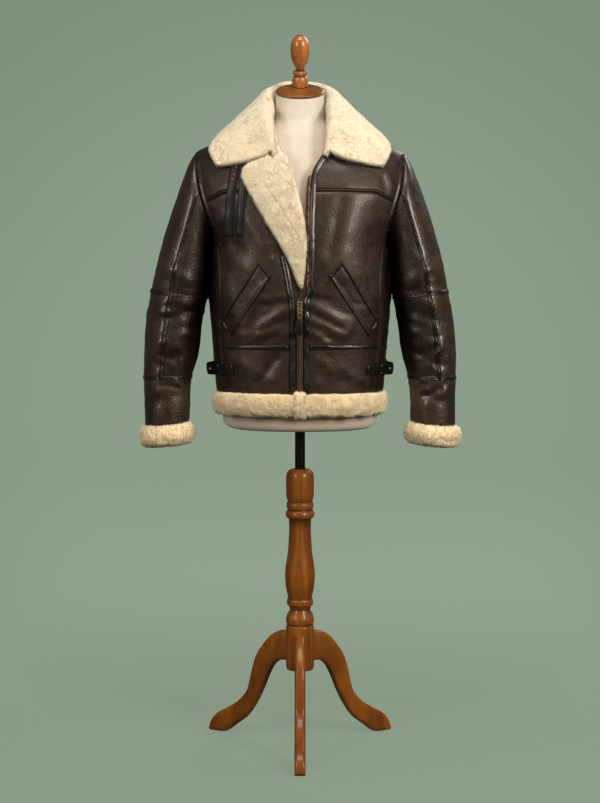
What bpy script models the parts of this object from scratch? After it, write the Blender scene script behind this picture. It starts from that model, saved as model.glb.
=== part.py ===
"""A shearling flight coat on a limbless dress form with a turned wooden tripod stand.

Metres, +Z up. The coat's front faces -Y and +X is the wearer's left. Everything is modelled about
the stand's column axis, and a root empty moves it so that the whole stands centred on the origin.

The coat's skin is two families of smooth sections: rings round the body, and rings down each sleeve
that start on the armhole. Each cut piece is a stretch of that skin with its own wall, so neighbouring
pieces meet face to face at their seams with a small gap.
"""

import math

import bmesh
import bpy
from mathutils import Matrix, Vector

MM = 0.001

# Walls and gaps
SEAM_GAP = 0.3 * MM          # between two pieces at a seam
WALL = 8.0 * MM              # leather with its wool, sewn panels
COLLAR_WALL = 14.0 * MM      # doubled shearling of the collar
LAPEL_WALL = 10.0 * MM       # the front turned back, wool outwards
TAPE_WALL = 1.5 * MM         # leather tapes over the seams
STRAP_WALL = 3.0 * MM        # straps and bindings
LIFT = 0.9 * MM              # clearance of what lies on a faceted panel
ARMHOLE_TRIM = 0.6 * MM      # the sleeve's draw-back at its twisted armhole edge

# Levels, from the floor
NECKLINE_Z = 1.345
SHOULDER_Z = 1.283
ARMPIT_Z = 1.068
WAIST_Z = 0.875
HEM_Z = 0.777
HEM_FUR_Z = 0.731
FORM_FOOT_Z = 0.696
COLUMN_TOP_Z = 0.607

# The column axis stands here, so that the whole is centred front to back
AXIS_Y = 0.0405

# Turns are in degrees: 0 is the centre front, 90 the wearer's left side, 180 the centre back
SIDE = 90.0
ARM_STEP = 20                # turn between two points of an armhole or sleeve ring
SEAM_TURN = 80               # the sleeve's front and back seams, from its outer line
SIDE_SEAM_TURN = 120         # where the side panel's seams meet the armhole


def rows_of(columns, *rows):
    """A table as one dictionary a row, under its column names."""
    return [dict(zip(columns, row)) for row in rows]


BODY = rows_of(
    ("z", "half_width", "front", "back", "power"),
    (0.700, 0.175, 0.135, 0.131, 2.45),
    (0.740, 0.177, 0.136, 0.132, 2.45),
    (0.777, 0.179, 0.137, 0.133, 2.45),
    (0.830, 0.1835, 0.139, 0.131, 2.50),
    (0.875, 0.1865, 0.142, 0.130, 2.50),
    (0.950, 0.1925, 0.147, 0.133, 2.50),
    (1.010, 0.1925, 0.150, 0.138, 2.45),
    (1.068, 0.1905, 0.151, 0.142, 2.40),
    (1.100, 0.1960, 0.150, 0.143, 2.35),
    (1.150, 0.2220, 0.145, 0.142, 2.30),
    (1.200, 0.2380, 0.136, 0.138, 2.30),
    (1.245, 0.2360, 0.123, 0.129, 2.25),
    (1.283, 0.2225, 0.108, 0.117, 2.20),
    (1.318, 0.1450, 0.092, 0.099, 2.15),
    (1.345, 0.0830, 0.079, 0.081, 2.10),
)

ARMHOLE = rows_of(
    ("turn", "x"),
    (0, 0.2225), (20, 0.2222), (40, 0.2185), (60, 0.2145), (80, 0.2080),
    (100, 0.1965), (120, 0.1860), (140, 0.1820), (160, 0.1860), (180, 0.1905),
)

SIDE_SEAM = rows_of(
    ("z", "x"),
    (0.700, 0.158), (0.777, 0.160), (0.837, 0.163), (0.893, 0.168), (0.947, 0.170),
    (1.000, 0.166), (1.060, 0.171), (1.12175, 0.186),
)

# The turned-back front's fold (wearer's right) and the free edge of the wearer's left front
FOLD_EDGE = rows_of(
    ("z", "x"),
    (0.700, -0.0072), (0.966, -0.0072), (0.984, -0.002), (0.998, 0.003), (1.036, 0.008),
    (1.086, 0.0105), (1.122, 0.008), (1.167, -0.001), (1.221, -0.013), (1.258, -0.027),
    (1.279, -0.040), (1.345, -0.060),
)
FREE_EDGE = rows_of(
    ("z", "x"),
    (0.700, 0.0068), (0.966, 0.0068), (0.984, 0.0125), (1.000, 0.0165), (1.070, 0.0180),
    (1.147, 0.0190), (1.209, 0.0215), (1.236, 0.0270), (1.256, 0.0380), (1.279, 0.0510),
    (1.345, 0.0620),
)

SLEEVE = rows_of(
    ("outer_x", "outer_z", "inner_x", "inner_z", "front", "back", "centre_y"),
    (0.2225, 1.283, 0.1905, 1.068, 0.082, 0.082, 0.000),
    (0.2380, 1.256, 0.1968, 1.048, 0.084, 0.083, -0.001),
    (0.2545, 1.213, 0.1978, 1.031, 0.086, 0.083, -0.002),
    (0.2730, 1.158, 0.1985, 1.016, 0.085, 0.082, -0.004),
    (0.2900, 1.104, 0.1988, 1.002, 0.083, 0.080, -0.006),
    (0.3050, 1.048, 0.1993, 0.989, 0.080, 0.077, -0.008),
    (0.3170, 0.990, 0.2005, 0.976, 0.077, 0.074, -0.010),
    (0.3245, 0.950, 0.2062, 0.942, 0.074, 0.071, -0.012),
    (0.3305, 0.905, 0.2140, 0.900, 0.070, 0.068, -0.013),
    (0.3330, 0.855, 0.2240, 0.853, 0.066, 0.064, -0.014),
    (0.3340, 0.806, 0.2335, 0.808, 0.061, 0.059, -0.015),
    (0.3335, 0.768, 0.2355, 0.772, 0.058, 0.056, -0.016),
    (0.3325, 0.703, 0.2365, 0.711, 0.056, 0.054, -0.017),
    (0.3320, 0.656, 0.2370, 0.664, 0.055, 0.053, -0.018),
)
SLEEVE_POWER = 2.15
ELBOW, FOREARM, WRIST = 6, 10, 12       # sections where the sleeve's cross seams lie

# From the centre back to the front end: where the collar is sewn on, where its stand turns over,
# the edge of its leaf, how far the leaf swells between them, and the radius it turns over
COLLAR = rows_of(
    ("base", "top", "edge", "bow", "roll"),
    ((0.000, 0.066, 1.354), (0.0000, 0.0620, 1.422), (0.000, 0.146, 1.290), 0.004, 0.012),
    ((0.028, 0.060, 1.354), (0.0240, 0.0575, 1.422), (0.060, 0.144, 1.292), 0.004, 0.012),
    ((0.053, 0.040, 1.354), (0.0470, 0.0400, 1.412), (0.114, 0.117, 1.299), 0.003, 0.012),
    ((0.068, 0.008, 1.3595), (0.0605, 0.0080, 1.396), (0.155, 0.050, 1.320), 0.003, 0.012),
    ((0.070, -0.034, 1.3595), (0.0605, -0.0340, 1.368), (0.171, -0.050, 1.312), 0.003, 0.011),
    ((0.064, -0.094, 1.322), (0.0600, -0.0950, 1.330), (0.187, -0.084, 1.280), 0.000, 0.009),
    ((0.060, -0.125, 1.262), (0.0585, -0.1255, 1.267), (0.176, -0.104, 1.247), -0.007, 0.007),
)
COLLAR_REST = 1.8 * MM      # clearance of the leaf over the faceted shoulders

# Main folds: two ends (x, z) seen from the front, height of the swell, and its half width.
# A front fold has a negative facing and a back fold a positive one.
BODY_FOLDS = rows_of(
    ("start", "end", "height", "width", "facing"),
    ((0.030, 0.960), (0.095, 0.915), 0.0035, 0.012, -1),
    ((0.022, 0.915), (0.055, 0.885), 0.0030, 0.010, -1),
    ((-0.030, 0.955), (-0.085, 0.905), 0.0035, 0.012, -1),
    ((-0.150, 1.010), (-0.120, 0.900), 0.0030, 0.014, -1),
    ((0.085, 1.175), (0.060, 1.075), -0.0035, 0.014, -1),
    ((-0.150, 1.170), (-0.135, 1.080), -0.0030, 0.014, -1),
    ((0.040, 0.850), (0.140, 0.800), 0.0025, 0.014, -1),
    ((-0.140, 0.850), (-0.060, 0.810), 0.0025, 0.014, -1),
    ((0.120, 1.160), (0.080, 1.000), 0.0035, 0.020, 1),
    ((-0.110, 1.150), (-0.075, 0.980), 0.0035, 0.020, 1),
    ((-0.120, 0.930), (0.020, 0.900), 0.0030, 0.014, 1),
    ((0.030, 0.955), (0.130, 0.910), 0.0030, 0.014, 1),
)
SLEEVE_FOLDS = rows_of(
    ("start", "end", "height", "width", "facing"),
    ((0.225, 1.010), (0.290, 1.045), 0.0040, 0.014, -1),
    ((0.220, 0.950), (0.300, 0.925), -0.0035, 0.012, -1),
    ((0.225, 0.905), (0.275, 0.885), 0.0040, 0.012, -1),
    ((0.295, 0.880), (0.325, 0.850), 0.0035, 0.011, -1),
    ((0.240, 0.860), (0.300, 0.835), -0.0030, 0.011, -1),
    ((0.245, 0.775), (0.320, 0.755), -0.0035, 0.012, -1),
    ((0.215, 1.000), (0.295, 1.010), 0.0040, 0.014, 1),
    ((0.220, 0.930), (0.310, 0.900), 0.0040, 0.014, 1),
    ((0.235, 0.860), (0.320, 0.840), -0.0030, 0.012, 1),
)

POCKET = {
    "upper": (0.0865, 1.048), "inner": (0.0625, 1.020), "lower": (0.141, 0.901), "outer": (0.1590, 0.929),
}

FORM = rows_of(
    ("z", "half_width", "front", "back"),
    (0.696, 0.142, 0.100, 0.098),
    (0.700, 0.156, 0.110, 0.108),
    (0.710, 0.1650, 0.116, 0.114),
    (0.740, 0.1665, 0.118, 0.116),
    (0.800, 0.164, 0.119, 0.115),
    (0.875, 0.160, 0.120, 0.110),
    (0.950, 0.163, 0.126, 0.112),
    (1.050, 0.171, 0.134, 0.122),
    (1.110, 0.178, 0.132, 0.128),
    (1.180, 0.192, 0.122, 0.126),
    (1.225, 0.197, 0.109, 0.118),
    (1.255, 0.199, 0.100, 0.109),
    (1.278, 0.1955, 0.091, 0.100),
    (1.2921, 0.1863, 0.083, 0.092),        # the coat rests on the shoulders from here
    (1.3142, 0.1327, 0.073, 0.080),        # to here
    (1.3302, 0.0950, 0.064, 0.070),
    (1.3400, 0.0680, 0.056, 0.058),
    (1.3500, 0.0560, 0.0515, 0.0520),
    (1.3740, 0.0535, 0.0500, 0.0505),
    (1.4087, 0.0510, 0.0490, 0.0490),
)
FORM_POWER = 2.15
NECK_LEAN_Z, NECK_TOP_Z = 1.350, 1.4087  # between these the neck turns to lie under its tilted cap

NECK_CAP_TILT = 20.8                 # degrees, the wooden cap leans forward
NECK_CAP_PLACE = Vector((0.0, 0.0, 1.4135))
# Turned profiles: radius and height, the cap's and finial's from the cap's rim
CAP_PROFILE = (
    (0.0, 0.0100), (0.0180, 0.0098), (0.0340, 0.0080), (0.0450, 0.0052),
    (0.0505, 0.0025), (0.0520, 0.0), (0.0505, -0.004), (0.0, -0.004),
)
FINIAL_PROFILE = (
    (0.0, 0.1195), (0.0080, 0.1180), (0.0149, 0.1107), (0.0185, 0.1010), (0.0193, 0.0920),
    (0.0183, 0.0780), (0.0149, 0.0670), (0.0110, 0.0562), (0.0082, 0.0475), (0.0085, 0.0445),
    (0.0150, 0.0425), (0.0153, 0.0375), (0.0128, 0.0355), (0.0128, 0.0325), (0.0150, 0.0305),
    (0.0168, 0.0230), (0.0172, 0.0150), (0.0165, 0.0105), (0.0, 0.0103),
)

POLE_RADIUS = 0.0110
POLE_FIT = 0.3 * MM
POLE_FOOT_Z = 0.470
POLE_HEAD_Z = 0.735
BORE_FOOT_Z = 0.385
COLUMN_PROFILE = (
    (0.0150, 0.6070), (0.0240, 0.6040), (0.0290, 0.5975), (0.0304, 0.5880), (0.0302, 0.5470),
    (0.0266, 0.5355), (0.0290, 0.5320), (0.0297, 0.5262), (0.0286, 0.5207), (0.0262, 0.5178),
    (0.0300, 0.5140), (0.0317, 0.5075), (0.0298, 0.5010), (0.0240, 0.4985), (0.0236, 0.4700),
    (0.0262, 0.4250), (0.0314, 0.3930), (0.0328, 0.3740), (0.0310, 0.3480), (0.0258, 0.3235),
    (0.0286, 0.3195), (0.0286, 0.3098), (0.0240, 0.3062), (0.0230, 0.3020), (0.0218, 0.2988),
    (0.0282, 0.2870), (0.0306, 0.2790), (0.0302, 0.2700), (0.0276, 0.2658), (0.0304, 0.2622),
    (0.0308, 0.2540), (0.0308, 0.1740), (0.0285, 0.1660), (0.0, 0.1635),
)
TURNED_STEPS = 20

LEG_COUNT = 3
LEG_WIDTH = 0.0232
LEG_TOP = (
    (0.0312, 0.249), (0.052, 0.246), (0.072, 0.234), (0.091, 0.213), (0.108, 0.188), (0.117, 0.163),
    (0.125, 0.131), (0.132, 0.106), (0.144, 0.089), (0.162, 0.072), (0.187, 0.056), (0.212, 0.041),
    (0.227, 0.024), (0.2325, 0.006),
)
LEG_UNDER = (
    (0.2275, 0.0), (0.196, 0.0), (0.183, 0.005), (0.165, 0.019), (0.134, 0.044), (0.110, 0.078),
    (0.092, 0.113), (0.078, 0.145), (0.064, 0.169), (0.048, 0.181), (0.0312, 0.183),
)

PULL_AXIS = Vector((-0.0005, -0.1560, 0.9690))


# Numbers read from the tables -------------------------------------------------------------------

def smooth_read(rows, key, column, at):
    """A column of a table at a value of its key, on a smooth curve through the rows."""
    keys = [row[key] for row in rows]
    values = [row[column] for row in rows]
    if at <= keys[0]:
        return values[0]
    if at >= keys[-1]:
        return values[-1]
    last = len(keys) - 1
    here = next(i for i in range(last) if at <= keys[i + 1])

    def slope(i):
        low, high = max(i - 1, 0), min(i + 1, last)
        return (values[high] - values[low]) / (keys[high] - keys[low])

    span = keys[here + 1] - keys[here]
    t = (at - keys[here]) / span
    start = values[here] * (1 + 2 * t) * (1 - t) ** 2 + span * slope(here) * t * (1 - t) ** 2
    end = values[here + 1] * (3 - 2 * t) * t * t + span * slope(here + 1) * t * t * (t - 1)
    return start + end


def numbered(rows):
    """The same rows with their place in the table as a key."""
    return [dict(row, place=place) for place, row in enumerate(rows)]


SLEEVE_ROWS = numbered(SLEEVE)
COLLAR_ROWS = [
    {"place": place, "bow": row["bow"], "roll": row["roll"],
     **{f"{name}_{axis}": row[name][i] for name in ("base", "top", "edge") for i, axis in enumerate("xyz")}}
    for place, row in enumerate(COLLAR)
]


def signed_power(value, power):
    return math.copysign(abs(value) ** power, value)


def between(low, high, part):
    return low + (high - low) * part


def swell(t, sharpness=1.0):
    """A hump that is 0 at both ends of 0..1 and 1 in the middle."""
    return max(math.sin(math.pi * min(max(t, 0.0), 1.0)), 0.0) ** sharpness


def along(steps, t):
    """The value at t in 0..1 along a list of evenly numbered steps."""
    place = min(max(t, 0.0), 1.0) * (len(steps) - 1)
    here = min(int(place + 1e-6), len(steps) - 2)
    return between(steps[here], steps[here + 1], place - here)


def even(low, high, count):
    return [between(low, high, i / count) for i in range(count + 1)]


# The body's skin --------------------------------------------------------------------------------

def body_section(z):
    return {name: smooth_read(BODY, "z", name, z) for name in ("half_width", "front", "back", "power")}


def body_base(turn, z):
    """The smooth skin, before its folds."""
    ring = body_section(z)
    power = 2.0 / ring["power"]
    sine, cosine = math.sin(math.radians(turn)), math.cos(math.radians(turn))
    depth = ring["front"] if cosine > 0 else ring["back"]
    return Vector((ring["half_width"] * signed_power(sine, power), -depth * signed_power(cosine, power), z))


def body_normal(turn, z):
    round_way = body_base(turn + 0.6, z) - body_base(turn - 0.6, z)
    up_way = body_base(turn, min(z + 0.002, NECKLINE_Z)) - body_base(turn, z - 0.002)
    return round_way.cross(up_way).normalized()


def body_turn(x, z, behind=False):
    """The turn at which the skin stands at this x and level."""
    ring = body_section(z)
    share = min(abs(x) / ring["half_width"], 1.0) ** (ring["power"] / 2.0)
    turn = math.copysign(math.degrees(math.asin(share)), x)
    return math.copysign(180.0, x) - turn if behind else turn


def fold_height(point, normal, folds, side=1):
    """How far the folds push this point out, fading towards the sides."""
    total = 0.0
    for fold in folds:
        facing = max(fold["facing"] * normal.y, 0.0)
        start, end = Vector(fold["start"]), Vector(fold["end"])
        flat = Vector((point.x * side, point.z))
        run = end - start
        part = min(max((flat - start).dot(run) / run.length_squared, 0.0), 1.0)
        distance = (flat - start - run * part).length
        total += facing * fold["height"] * math.exp(-((distance / fold["width"]) ** 2))
    return total


def body_skin(turn, z, lift=0.0):
    """The folded skin, moved out by lift, and the smooth skin's normal there."""
    base, normal = body_base(turn, z), body_normal(turn, z)
    return base + normal * (fold_height(base, normal, BODY_FOLDS) + lift), normal


def front_skin(x, z, lift=0.0):
    return body_skin(body_turn(x, z), z, lift)


# The armholes and sleeves -----------------------------------------------------------------------

def armhole_level(turn):
    middle, half = (SHOULDER_Z + ARMPIT_Z) / 2, (SHOULDER_Z - ARMPIT_Z) / 2
    return middle + half * math.cos(math.radians(turn))


def armhole_spot(turn):
    """The body turn and level of an armhole point, for the wearer's left side."""
    if turn > 180:
        spot = armhole_spot(360 - turn)
        return 180.0 - spot[0], spot[1]
    z = armhole_level(turn)
    if turn in (0, 180):
        return SIDE, z
    return body_turn(smooth_read(ARMHOLE, "turn", "x", turn), z), z


def armhole_turn_at(z):
    """The armhole's body turn at this level."""
    middle, half = (SHOULDER_Z + ARMPIT_Z) / 2, (SHOULDER_Z - ARMPIT_Z) / 2
    share = min(max((z - middle) / half, -1.0), 1.0)
    arm_turn = math.degrees(math.acos(share))
    return SIDE if share >= 1.0 else armhole_spot(round(arm_turn, 6))[0]


def mirrored(point, side):
    return Vector((point.x * side, point.y, point.z))


def sleeve_ring(turn, place):
    """A point of the smooth sleeve section at this place down the sleeve."""
    row = {name: smooth_read(SLEEVE_ROWS, "place", name, place) for name in SLEEVE[0]}
    outer = Vector((row["outer_x"], row["centre_y"], row["outer_z"]))
    inner = Vector((row["inner_x"], row["centre_y"], row["inner_z"]))
    power = 2.0 / SLEEVE_POWER
    sine, cosine = math.sin(math.radians(turn)), math.cos(math.radians(turn))
    depth = row["front"] if sine > 0 else row["back"]
    across = (outer - inner) / 2 * signed_power(cosine, power)
    return (outer + inner) / 2 + across - Vector((0, depth * signed_power(sine, power), 0))


def sleeve_base(turn, place):
    point = sleeve_ring(turn, place)
    if place < 1.0:
        spot = armhole_spot(turn % 360)
        point += (body_base(*spot) - sleeve_ring(turn, 0.0)) * (1.0 - place) ** 2
    return point


def sleeve_normal(turn, place):
    down_way = sleeve_base(turn, min(place + 0.08, WRIST + 1)) - sleeve_base(turn, max(place - 0.08, 0.0))
    round_way = sleeve_base(turn + 2.0, place) - sleeve_base(turn - 2.0, place)
    normal = round_way.cross(down_way).normalized()
    centre = (sleeve_base(turn, place) + sleeve_base(turn + 180.0, place)) / 2
    return normal if normal.dot(sleeve_base(turn, place) - centre) > 0 else -normal


def shared_normal(turn):
    """The way across the wall that the body and the sleeve share over the top of the armhole."""
    return (body_normal(*armhole_spot(turn % 360)) + sleeve_normal(turn, 0.0)).normalized()


def over_the_top(turn):
    return math.cos(math.radians(turn)) > 0.1


def sleeve_skin(turn, place, side, lift=0.0):
    """The folded sleeve skin and the way out of it, on the wearer's left (1) or right (-1)."""
    base, normal = sleeve_base(turn, place), sleeve_normal(turn, place)
    fade = min(place / 1.5, 1.0)
    height = fold_height(base, normal, SLEEVE_FOLDS) * fade * (1.0 if side > 0 else 0.8)
    if place == 0.0 and over_the_top(turn):
        normal = shared_normal(turn)
    return mirrored(base + normal * (height + lift), side), mirrored(normal, side)


# Making solids ----------------------------------------------------------------------------------

def material(name, colour, roughness, metallic=0.0):
    made = bpy.data.materials.new(name)
    made.use_nodes = True
    shader = made.node_tree.nodes["Principled BSDF"]
    shader.inputs["Base Color"].default_value = (*colour, 1.0)
    shader.inputs["Roughness"].default_value = roughness
    shader.inputs["Metallic"].default_value = metallic
    made.diffuse_color = (*colour, 1.0)
    return made


class Workshop:
    """Keeps the collection, the empties that carry the bodies, and the materials."""

    def __init__(self):
        for old in list(bpy.data.objects):
            bpy.data.objects.remove(old, do_unlink=True)
        self.collection = bpy.data.collections.new("shearling_coat_on_dress_form")
        bpy.context.scene.collection.children.link(self.collection)
        self.root = self.carrier("centred_frame", Vector((0, AXIS_Y, 0)))
        self.carriers = {
            "stand": self.carrier("stand_frame", Vector((0, 0, 0)), self.root),
            "pole": self.carrier("pole_slide", Vector((0, 0, COLUMN_TOP_Z)), self.root),
            "form": self.carrier("form_turn", Vector((0, 0, FORM_FOOT_Z)), self.root),
            "puller": self.carrier("puller_hinge", PULL_AXIS.copy(), self.root),
        }
        self.materials = {
            "leather": material("dark_brown_leather", (0.028, 0.018, 0.015), 0.38),
            "tape": material("black_leather_tape", (0.010, 0.009, 0.008), 0.32),
            "wool": material("cream_wool", (0.84, 0.70, 0.46), 0.95),
            "cloth": material("cream_form_cloth", (0.80, 0.72, 0.60), 0.80),
            "wood": material("varnished_wood", (0.28, 0.095, 0.025), 0.30),
            "steel": material("black_steel", (0.012, 0.012, 0.013), 0.35, 0.8),
            "brass": material("aged_brass", (0.22, 0.15, 0.07), 0.40, 1.0),
            "zip": material("brown_zip", (0.075, 0.032, 0.018), 0.50, 0.3),
        }

    def carrier(self, name, place, parent=None):
        empty = bpy.data.objects.new(name, None)
        empty.location = place
        empty.parent = parent
        self.collection.objects.link(empty)
        return empty

    def keep(self, mesh, name, look, body="form", smooth_angle=40.0):
        """Close the mesh's sides outwards and hang the object on its body's empty."""
        bmesh.ops.recalc_face_normals(mesh, faces=mesh.faces[:])
        if mesh.calc_volume(signed=True) < 0:
            bmesh.ops.reverse_faces(mesh, faces=mesh.faces[:])
        data = bpy.data.meshes.new(name)
        mesh.to_mesh(data)
        mesh.free()
        carrier = self.carriers[body]
        data.transform(Matrix.Translation(-carrier.location))
        data.materials.append(self.materials[look])
        data.shade_smooth()
        data.set_sharp_from_angle(angle=math.radians(smooth_angle))
        made = bpy.data.objects.new(name, data)
        made.parent = carrier
        self.collection.objects.link(made)
        return made


SHOP = Workshop()


def split_rims(mesh):
    """Cut each rim face of a flat slab along the same diagonal, so that twisted rims stay parallel."""
    top = max(v.co.z for v in mesh.verts)
    for face in [f for f in mesh.faces if len({round(v.co.z, 3) for v in f.verts}) == 2]:
        order = sorted(face.verts, key=lambda v: (round(v.co.x, 4), round(v.co.y, 4)))
        near, far = order[:2], order[2:]
        start = next(v for v in near if abs(v.co.z - top) < 1e-4)
        end = next(v for v in far if abs(v.co.z - top) > 1e-4)
        bmesh.utils.face_split(face, start, end)


def slab(name, columns, rows, outer, inner, look, closed=False, trim=SEAM_GAP / 2, first_trim=None):
    """A wall between two faces, each given as a point for u and v in 0..1.

    Its edges are drawn back by trim, so that neighbours keep the seam gap, and the edge at v = 0 by
    first_trim where that differs. A closed slab joins its u = 0 and u = 1 sides into a tube.
    """
    mesh = bmesh.new()
    bmesh.ops.create_grid(mesh, x_segments=columns, y_segments=rows, size=0.5)
    bmesh.ops.solidify(mesh, geom=mesh.faces[:], thickness=1.0)
    if closed:
        ends = [f for f in mesh.faces if all(abs(abs(v.co.x) - 0.5) < 1e-4 for v in f.verts)]
        bmesh.ops.delete(mesh, geom=ends, context="FACES")
    split_rims(mesh)
    levels = sorted({round(v.co.z, 3) for v in mesh.verts})
    for vertex in mesh.verts:
        u, v = vertex.co.x + 0.5, vertex.co.y + 0.5
        face = inner if round(vertex.co.z, 3) == levels[0] else outer
        point = face(u, v)
        shift = Vector()
        if not closed:
            if u < 1e-4:
                shift += (face(1 / columns, v) - point).normalized()
            elif u > 1 - 1e-4:
                shift += (face(1 - 1 / columns, v) - point).normalized()
        if v < 1e-4:
            shift += (face(u, 1 / rows) - point).normalized() * (first_trim or trim) / (trim or 1.0)
        elif v > 1 - 1e-4:
            shift += (face(u, 1 - 1 / rows) - point).normalized()
        vertex.co = point + shift * trim
    if closed:
        bmesh.ops.remove_doubles(mesh, verts=mesh.verts[:], dist=1e-5)
    return SHOP.keep(mesh, name, look)


def walled(skin, wall=WALL):
    """The two faces of a wall: the folded skin outside, and a plain face inside."""
    def outer(u, v):
        return skin(u, v)[0]

    def inner(u, v):
        point, normal, plain = skin(u, v)
        return plain - normal * wall

    return outer, inner


def turned(name, profile, look, body, place=Vector(), tilt=0.0, steps=TURNED_STEPS):
    """A lathe-turned piece: its profile with a Screw modifier, applied and then set in place."""
    data = bpy.data.meshes.new(name)
    data.from_pydata([(radius, 0.0, height) for radius, height in profile],
                     [(i, i + 1) for i in range(len(profile) - 1)], [])
    made = bpy.data.objects.new(name, data)
    SHOP.collection.objects.link(made)
    screw = made.modifiers.new("Turned", "SCREW")
    screw.steps = screw.render_steps = steps
    screw.use_merge_vertices = True
    screw.merge_threshold = 1e-5
    screw.use_smooth_shade = True
    carrier = SHOP.carriers[body]
    made.parent = carrier
    made.location = place - carrier.location
    made.rotation_mode = "ZYX"
    made.rotation_euler = (math.radians(tilt), 0.0, math.radians(180.0 / steps))
    data.materials.append(SHOP.materials[look])
    return made


def joined(first, others):
    """The first object with the others united to it."""
    for other in others:
        cut = first.modifiers.new("Joined", "BOOLEAN")
        cut.operation = "UNION"
        cut.object = other
    bpy.context.view_layer.update()
    graph = bpy.context.evaluated_depsgraph_get()
    data = bpy.data.meshes.new_from_object(first.evaluated_get(graph))
    data.name = first.name
    first.modifiers.clear()
    first.data = data
    for other in others:
        bpy.data.objects.remove(other, do_unlink=True)
    return first


# Body panels ------------------------------------------------------------------------------------

YOKE_ARM = [80, 60, 40, 20, 0]
YOKE_LEVELS = [armhole_level(turn) for turn in YOKE_ARM] + [1.300, 1.322, NECKLINE_Z]
CHEST_LEVELS = [WAIST_Z, 0.905, 0.936, 0.966, 0.998, 1.030, 1.062, 1.092,
                armhole_level(120), armhole_level(100), armhole_level(80)]
HEM_LEVELS = even(HEM_Z, WAIST_Z, 4)
SIDE_LEVELS = HEM_LEVELS + CHEST_LEVELS[1:9]


def side_turn(z):
    """The outer edge of a front piece: the side seam, the armhole, then the shoulder seam."""
    if z >= SHOULDER_Z - 1e-6:
        return SIDE
    if z >= armhole_level(SIDE_SEAM_TURN) - 1e-6:
        return armhole_turn_at(z)
    return body_turn(smooth_read(SIDE_SEAM, "z", "x", z), z)


def edge_turn(side, z):
    """The front edge of a front piece, measured towards its own side."""
    rows = FREE_EDGE if side > 0 else FOLD_EDGE
    return body_turn(smooth_read(rows, "z", "x", z), z) * side


def armhole_way(turn, z, normal):
    """Over the armhole's top, the wall of its edge points the way that the sleeve's does."""
    if not armhole_level(80) - 1e-6 <= z <= SHOULDER_Z + 1e-6:
        return normal
    near = armhole_turn_at(z)
    if abs(abs(turn) - near) > 1e-3 and abs(180 - abs(turn) - near) > 1e-3:
        return normal
    arm_turn = math.degrees(math.acos(min(max((z - (SHOULDER_Z + ARMPIT_Z) / 2)
                                              / ((SHOULDER_Z - ARMPIT_Z) / 2), -1.0), 1.0)))
    if abs(turn) > 90:
        arm_turn = -arm_turn
    return mirrored(shared_normal(arm_turn), 1 if turn > 0 else -1)


def body_piece(name, columns, levels, turn_at, look="leather", wall=WALL):
    """A panel whose rows lie at the levels and whose turn_at(u, z) runs from edge to edge."""
    def skin(u, v):
        z = along(levels, v)
        turn = turn_at(u, z)
        point, normal = body_skin(turn, z)
        return point, armhole_way(turn, z, normal), body_base(turn, z)

    outer, inner = walled(skin, wall)
    return slab(name, columns, len(levels) - 1, outer, inner, look)


def front_pieces(side, tag):
    def turn_at(u, z):
        return side * between(edge_turn(side, z), side_turn(z), u)

    body_piece(f"front_yoke_{tag}", 8, YOKE_LEVELS, turn_at)
    body_piece(f"front_chest_{tag}", 8, CHEST_LEVELS, turn_at)
    body_piece(f"front_waist_{tag}", 8, HEM_LEVELS, turn_at)


def side_panel(side, tag):
    """The piece under the arm: its top edge is the foot of the armhole."""
    top_turns = list(range(SIDE_SEAM_TURN, 360 - SIDE_SEAM_TURN + 1, ARM_STEP))
    top_z = armhole_level(SIDE_SEAM_TURN)

    def skin(u, v):
        edge_z = along(SIDE_LEVELS, v)
        share = (edge_z - HEM_Z) / (top_z - HEM_Z)
        arm_turn = along(top_turns, u)
        arm = armhole_spot(arm_turn)
        z = between(HEM_Z, arm[1], share)
        straight = between(side_turn(edge_z), 180 - side_turn(edge_z), u)
        straight_top = between(side_turn(top_z), 180 - side_turn(top_z), u)
        turn = side * (straight + share ** 2 * (arm[0] - straight_top))
        point, normal = body_skin(turn, z)
        return point, normal, body_base(turn, z)

    outer, inner = walled(skin)
    slab(f"side_panel_{tag}", len(top_turns) - 1, len(SIDE_LEVELS) - 1, outer, inner, "leather")


def back_pieces():
    def turn_at(u, z):
        edge = 180 - side_turn(z)
        return between(edge, 360 - edge, u)

    def wrapped(u, z):
        turn = turn_at(u, z)
        return turn if turn <= 180 else turn - 360

    body_piece("back_yoke", 14, YOKE_LEVELS, wrapped)
    body_piece("back_body", 14, CHEST_LEVELS, wrapped)
    body_piece("back_waist", 14, HEM_LEVELS, wrapped)


# Sleeves ----------------------------------------------------------------------------------------

UPPER_PLACES = [0.0, 0.4, 1.0, 1.8, 2.6, 3.4, 4.2, 5.1, ELBOW]
LOWER_PLACES = [ELBOW, 6.6, 7.3, 8.0, 8.7, 9.4, FOREARM]
WRIST_PLACES = [FOREARM, 10.7, 11.35, WRIST]
OUTER_TURNS = list(range(-SEAM_TURN, SEAM_TURN + 1, ARM_STEP))
UNDER_TURNS = list(range(SEAM_TURN, 360 - SEAM_TURN + 1, ARM_STEP))
ROUND_TURNS = list(range(0, 361, ARM_STEP))


def sleeve_piece(name, side, turns, places, closed=False):
    def skin(u, v):
        turn, place = along(turns, u), along(places, v)
        point, normal = sleeve_skin(turn, place, side)
        return point, normal, mirrored(sleeve_base(turn, place), side)

    outer, inner = walled(skin)
    first_trim = ARMHOLE_TRIM if places[0] == 0.0 else None
    slab(name, len(turns) - 1, len(places) - 1, outer, inner, "leather", closed, first_trim=first_trim)


CUFF_ROWS = 5


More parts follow.
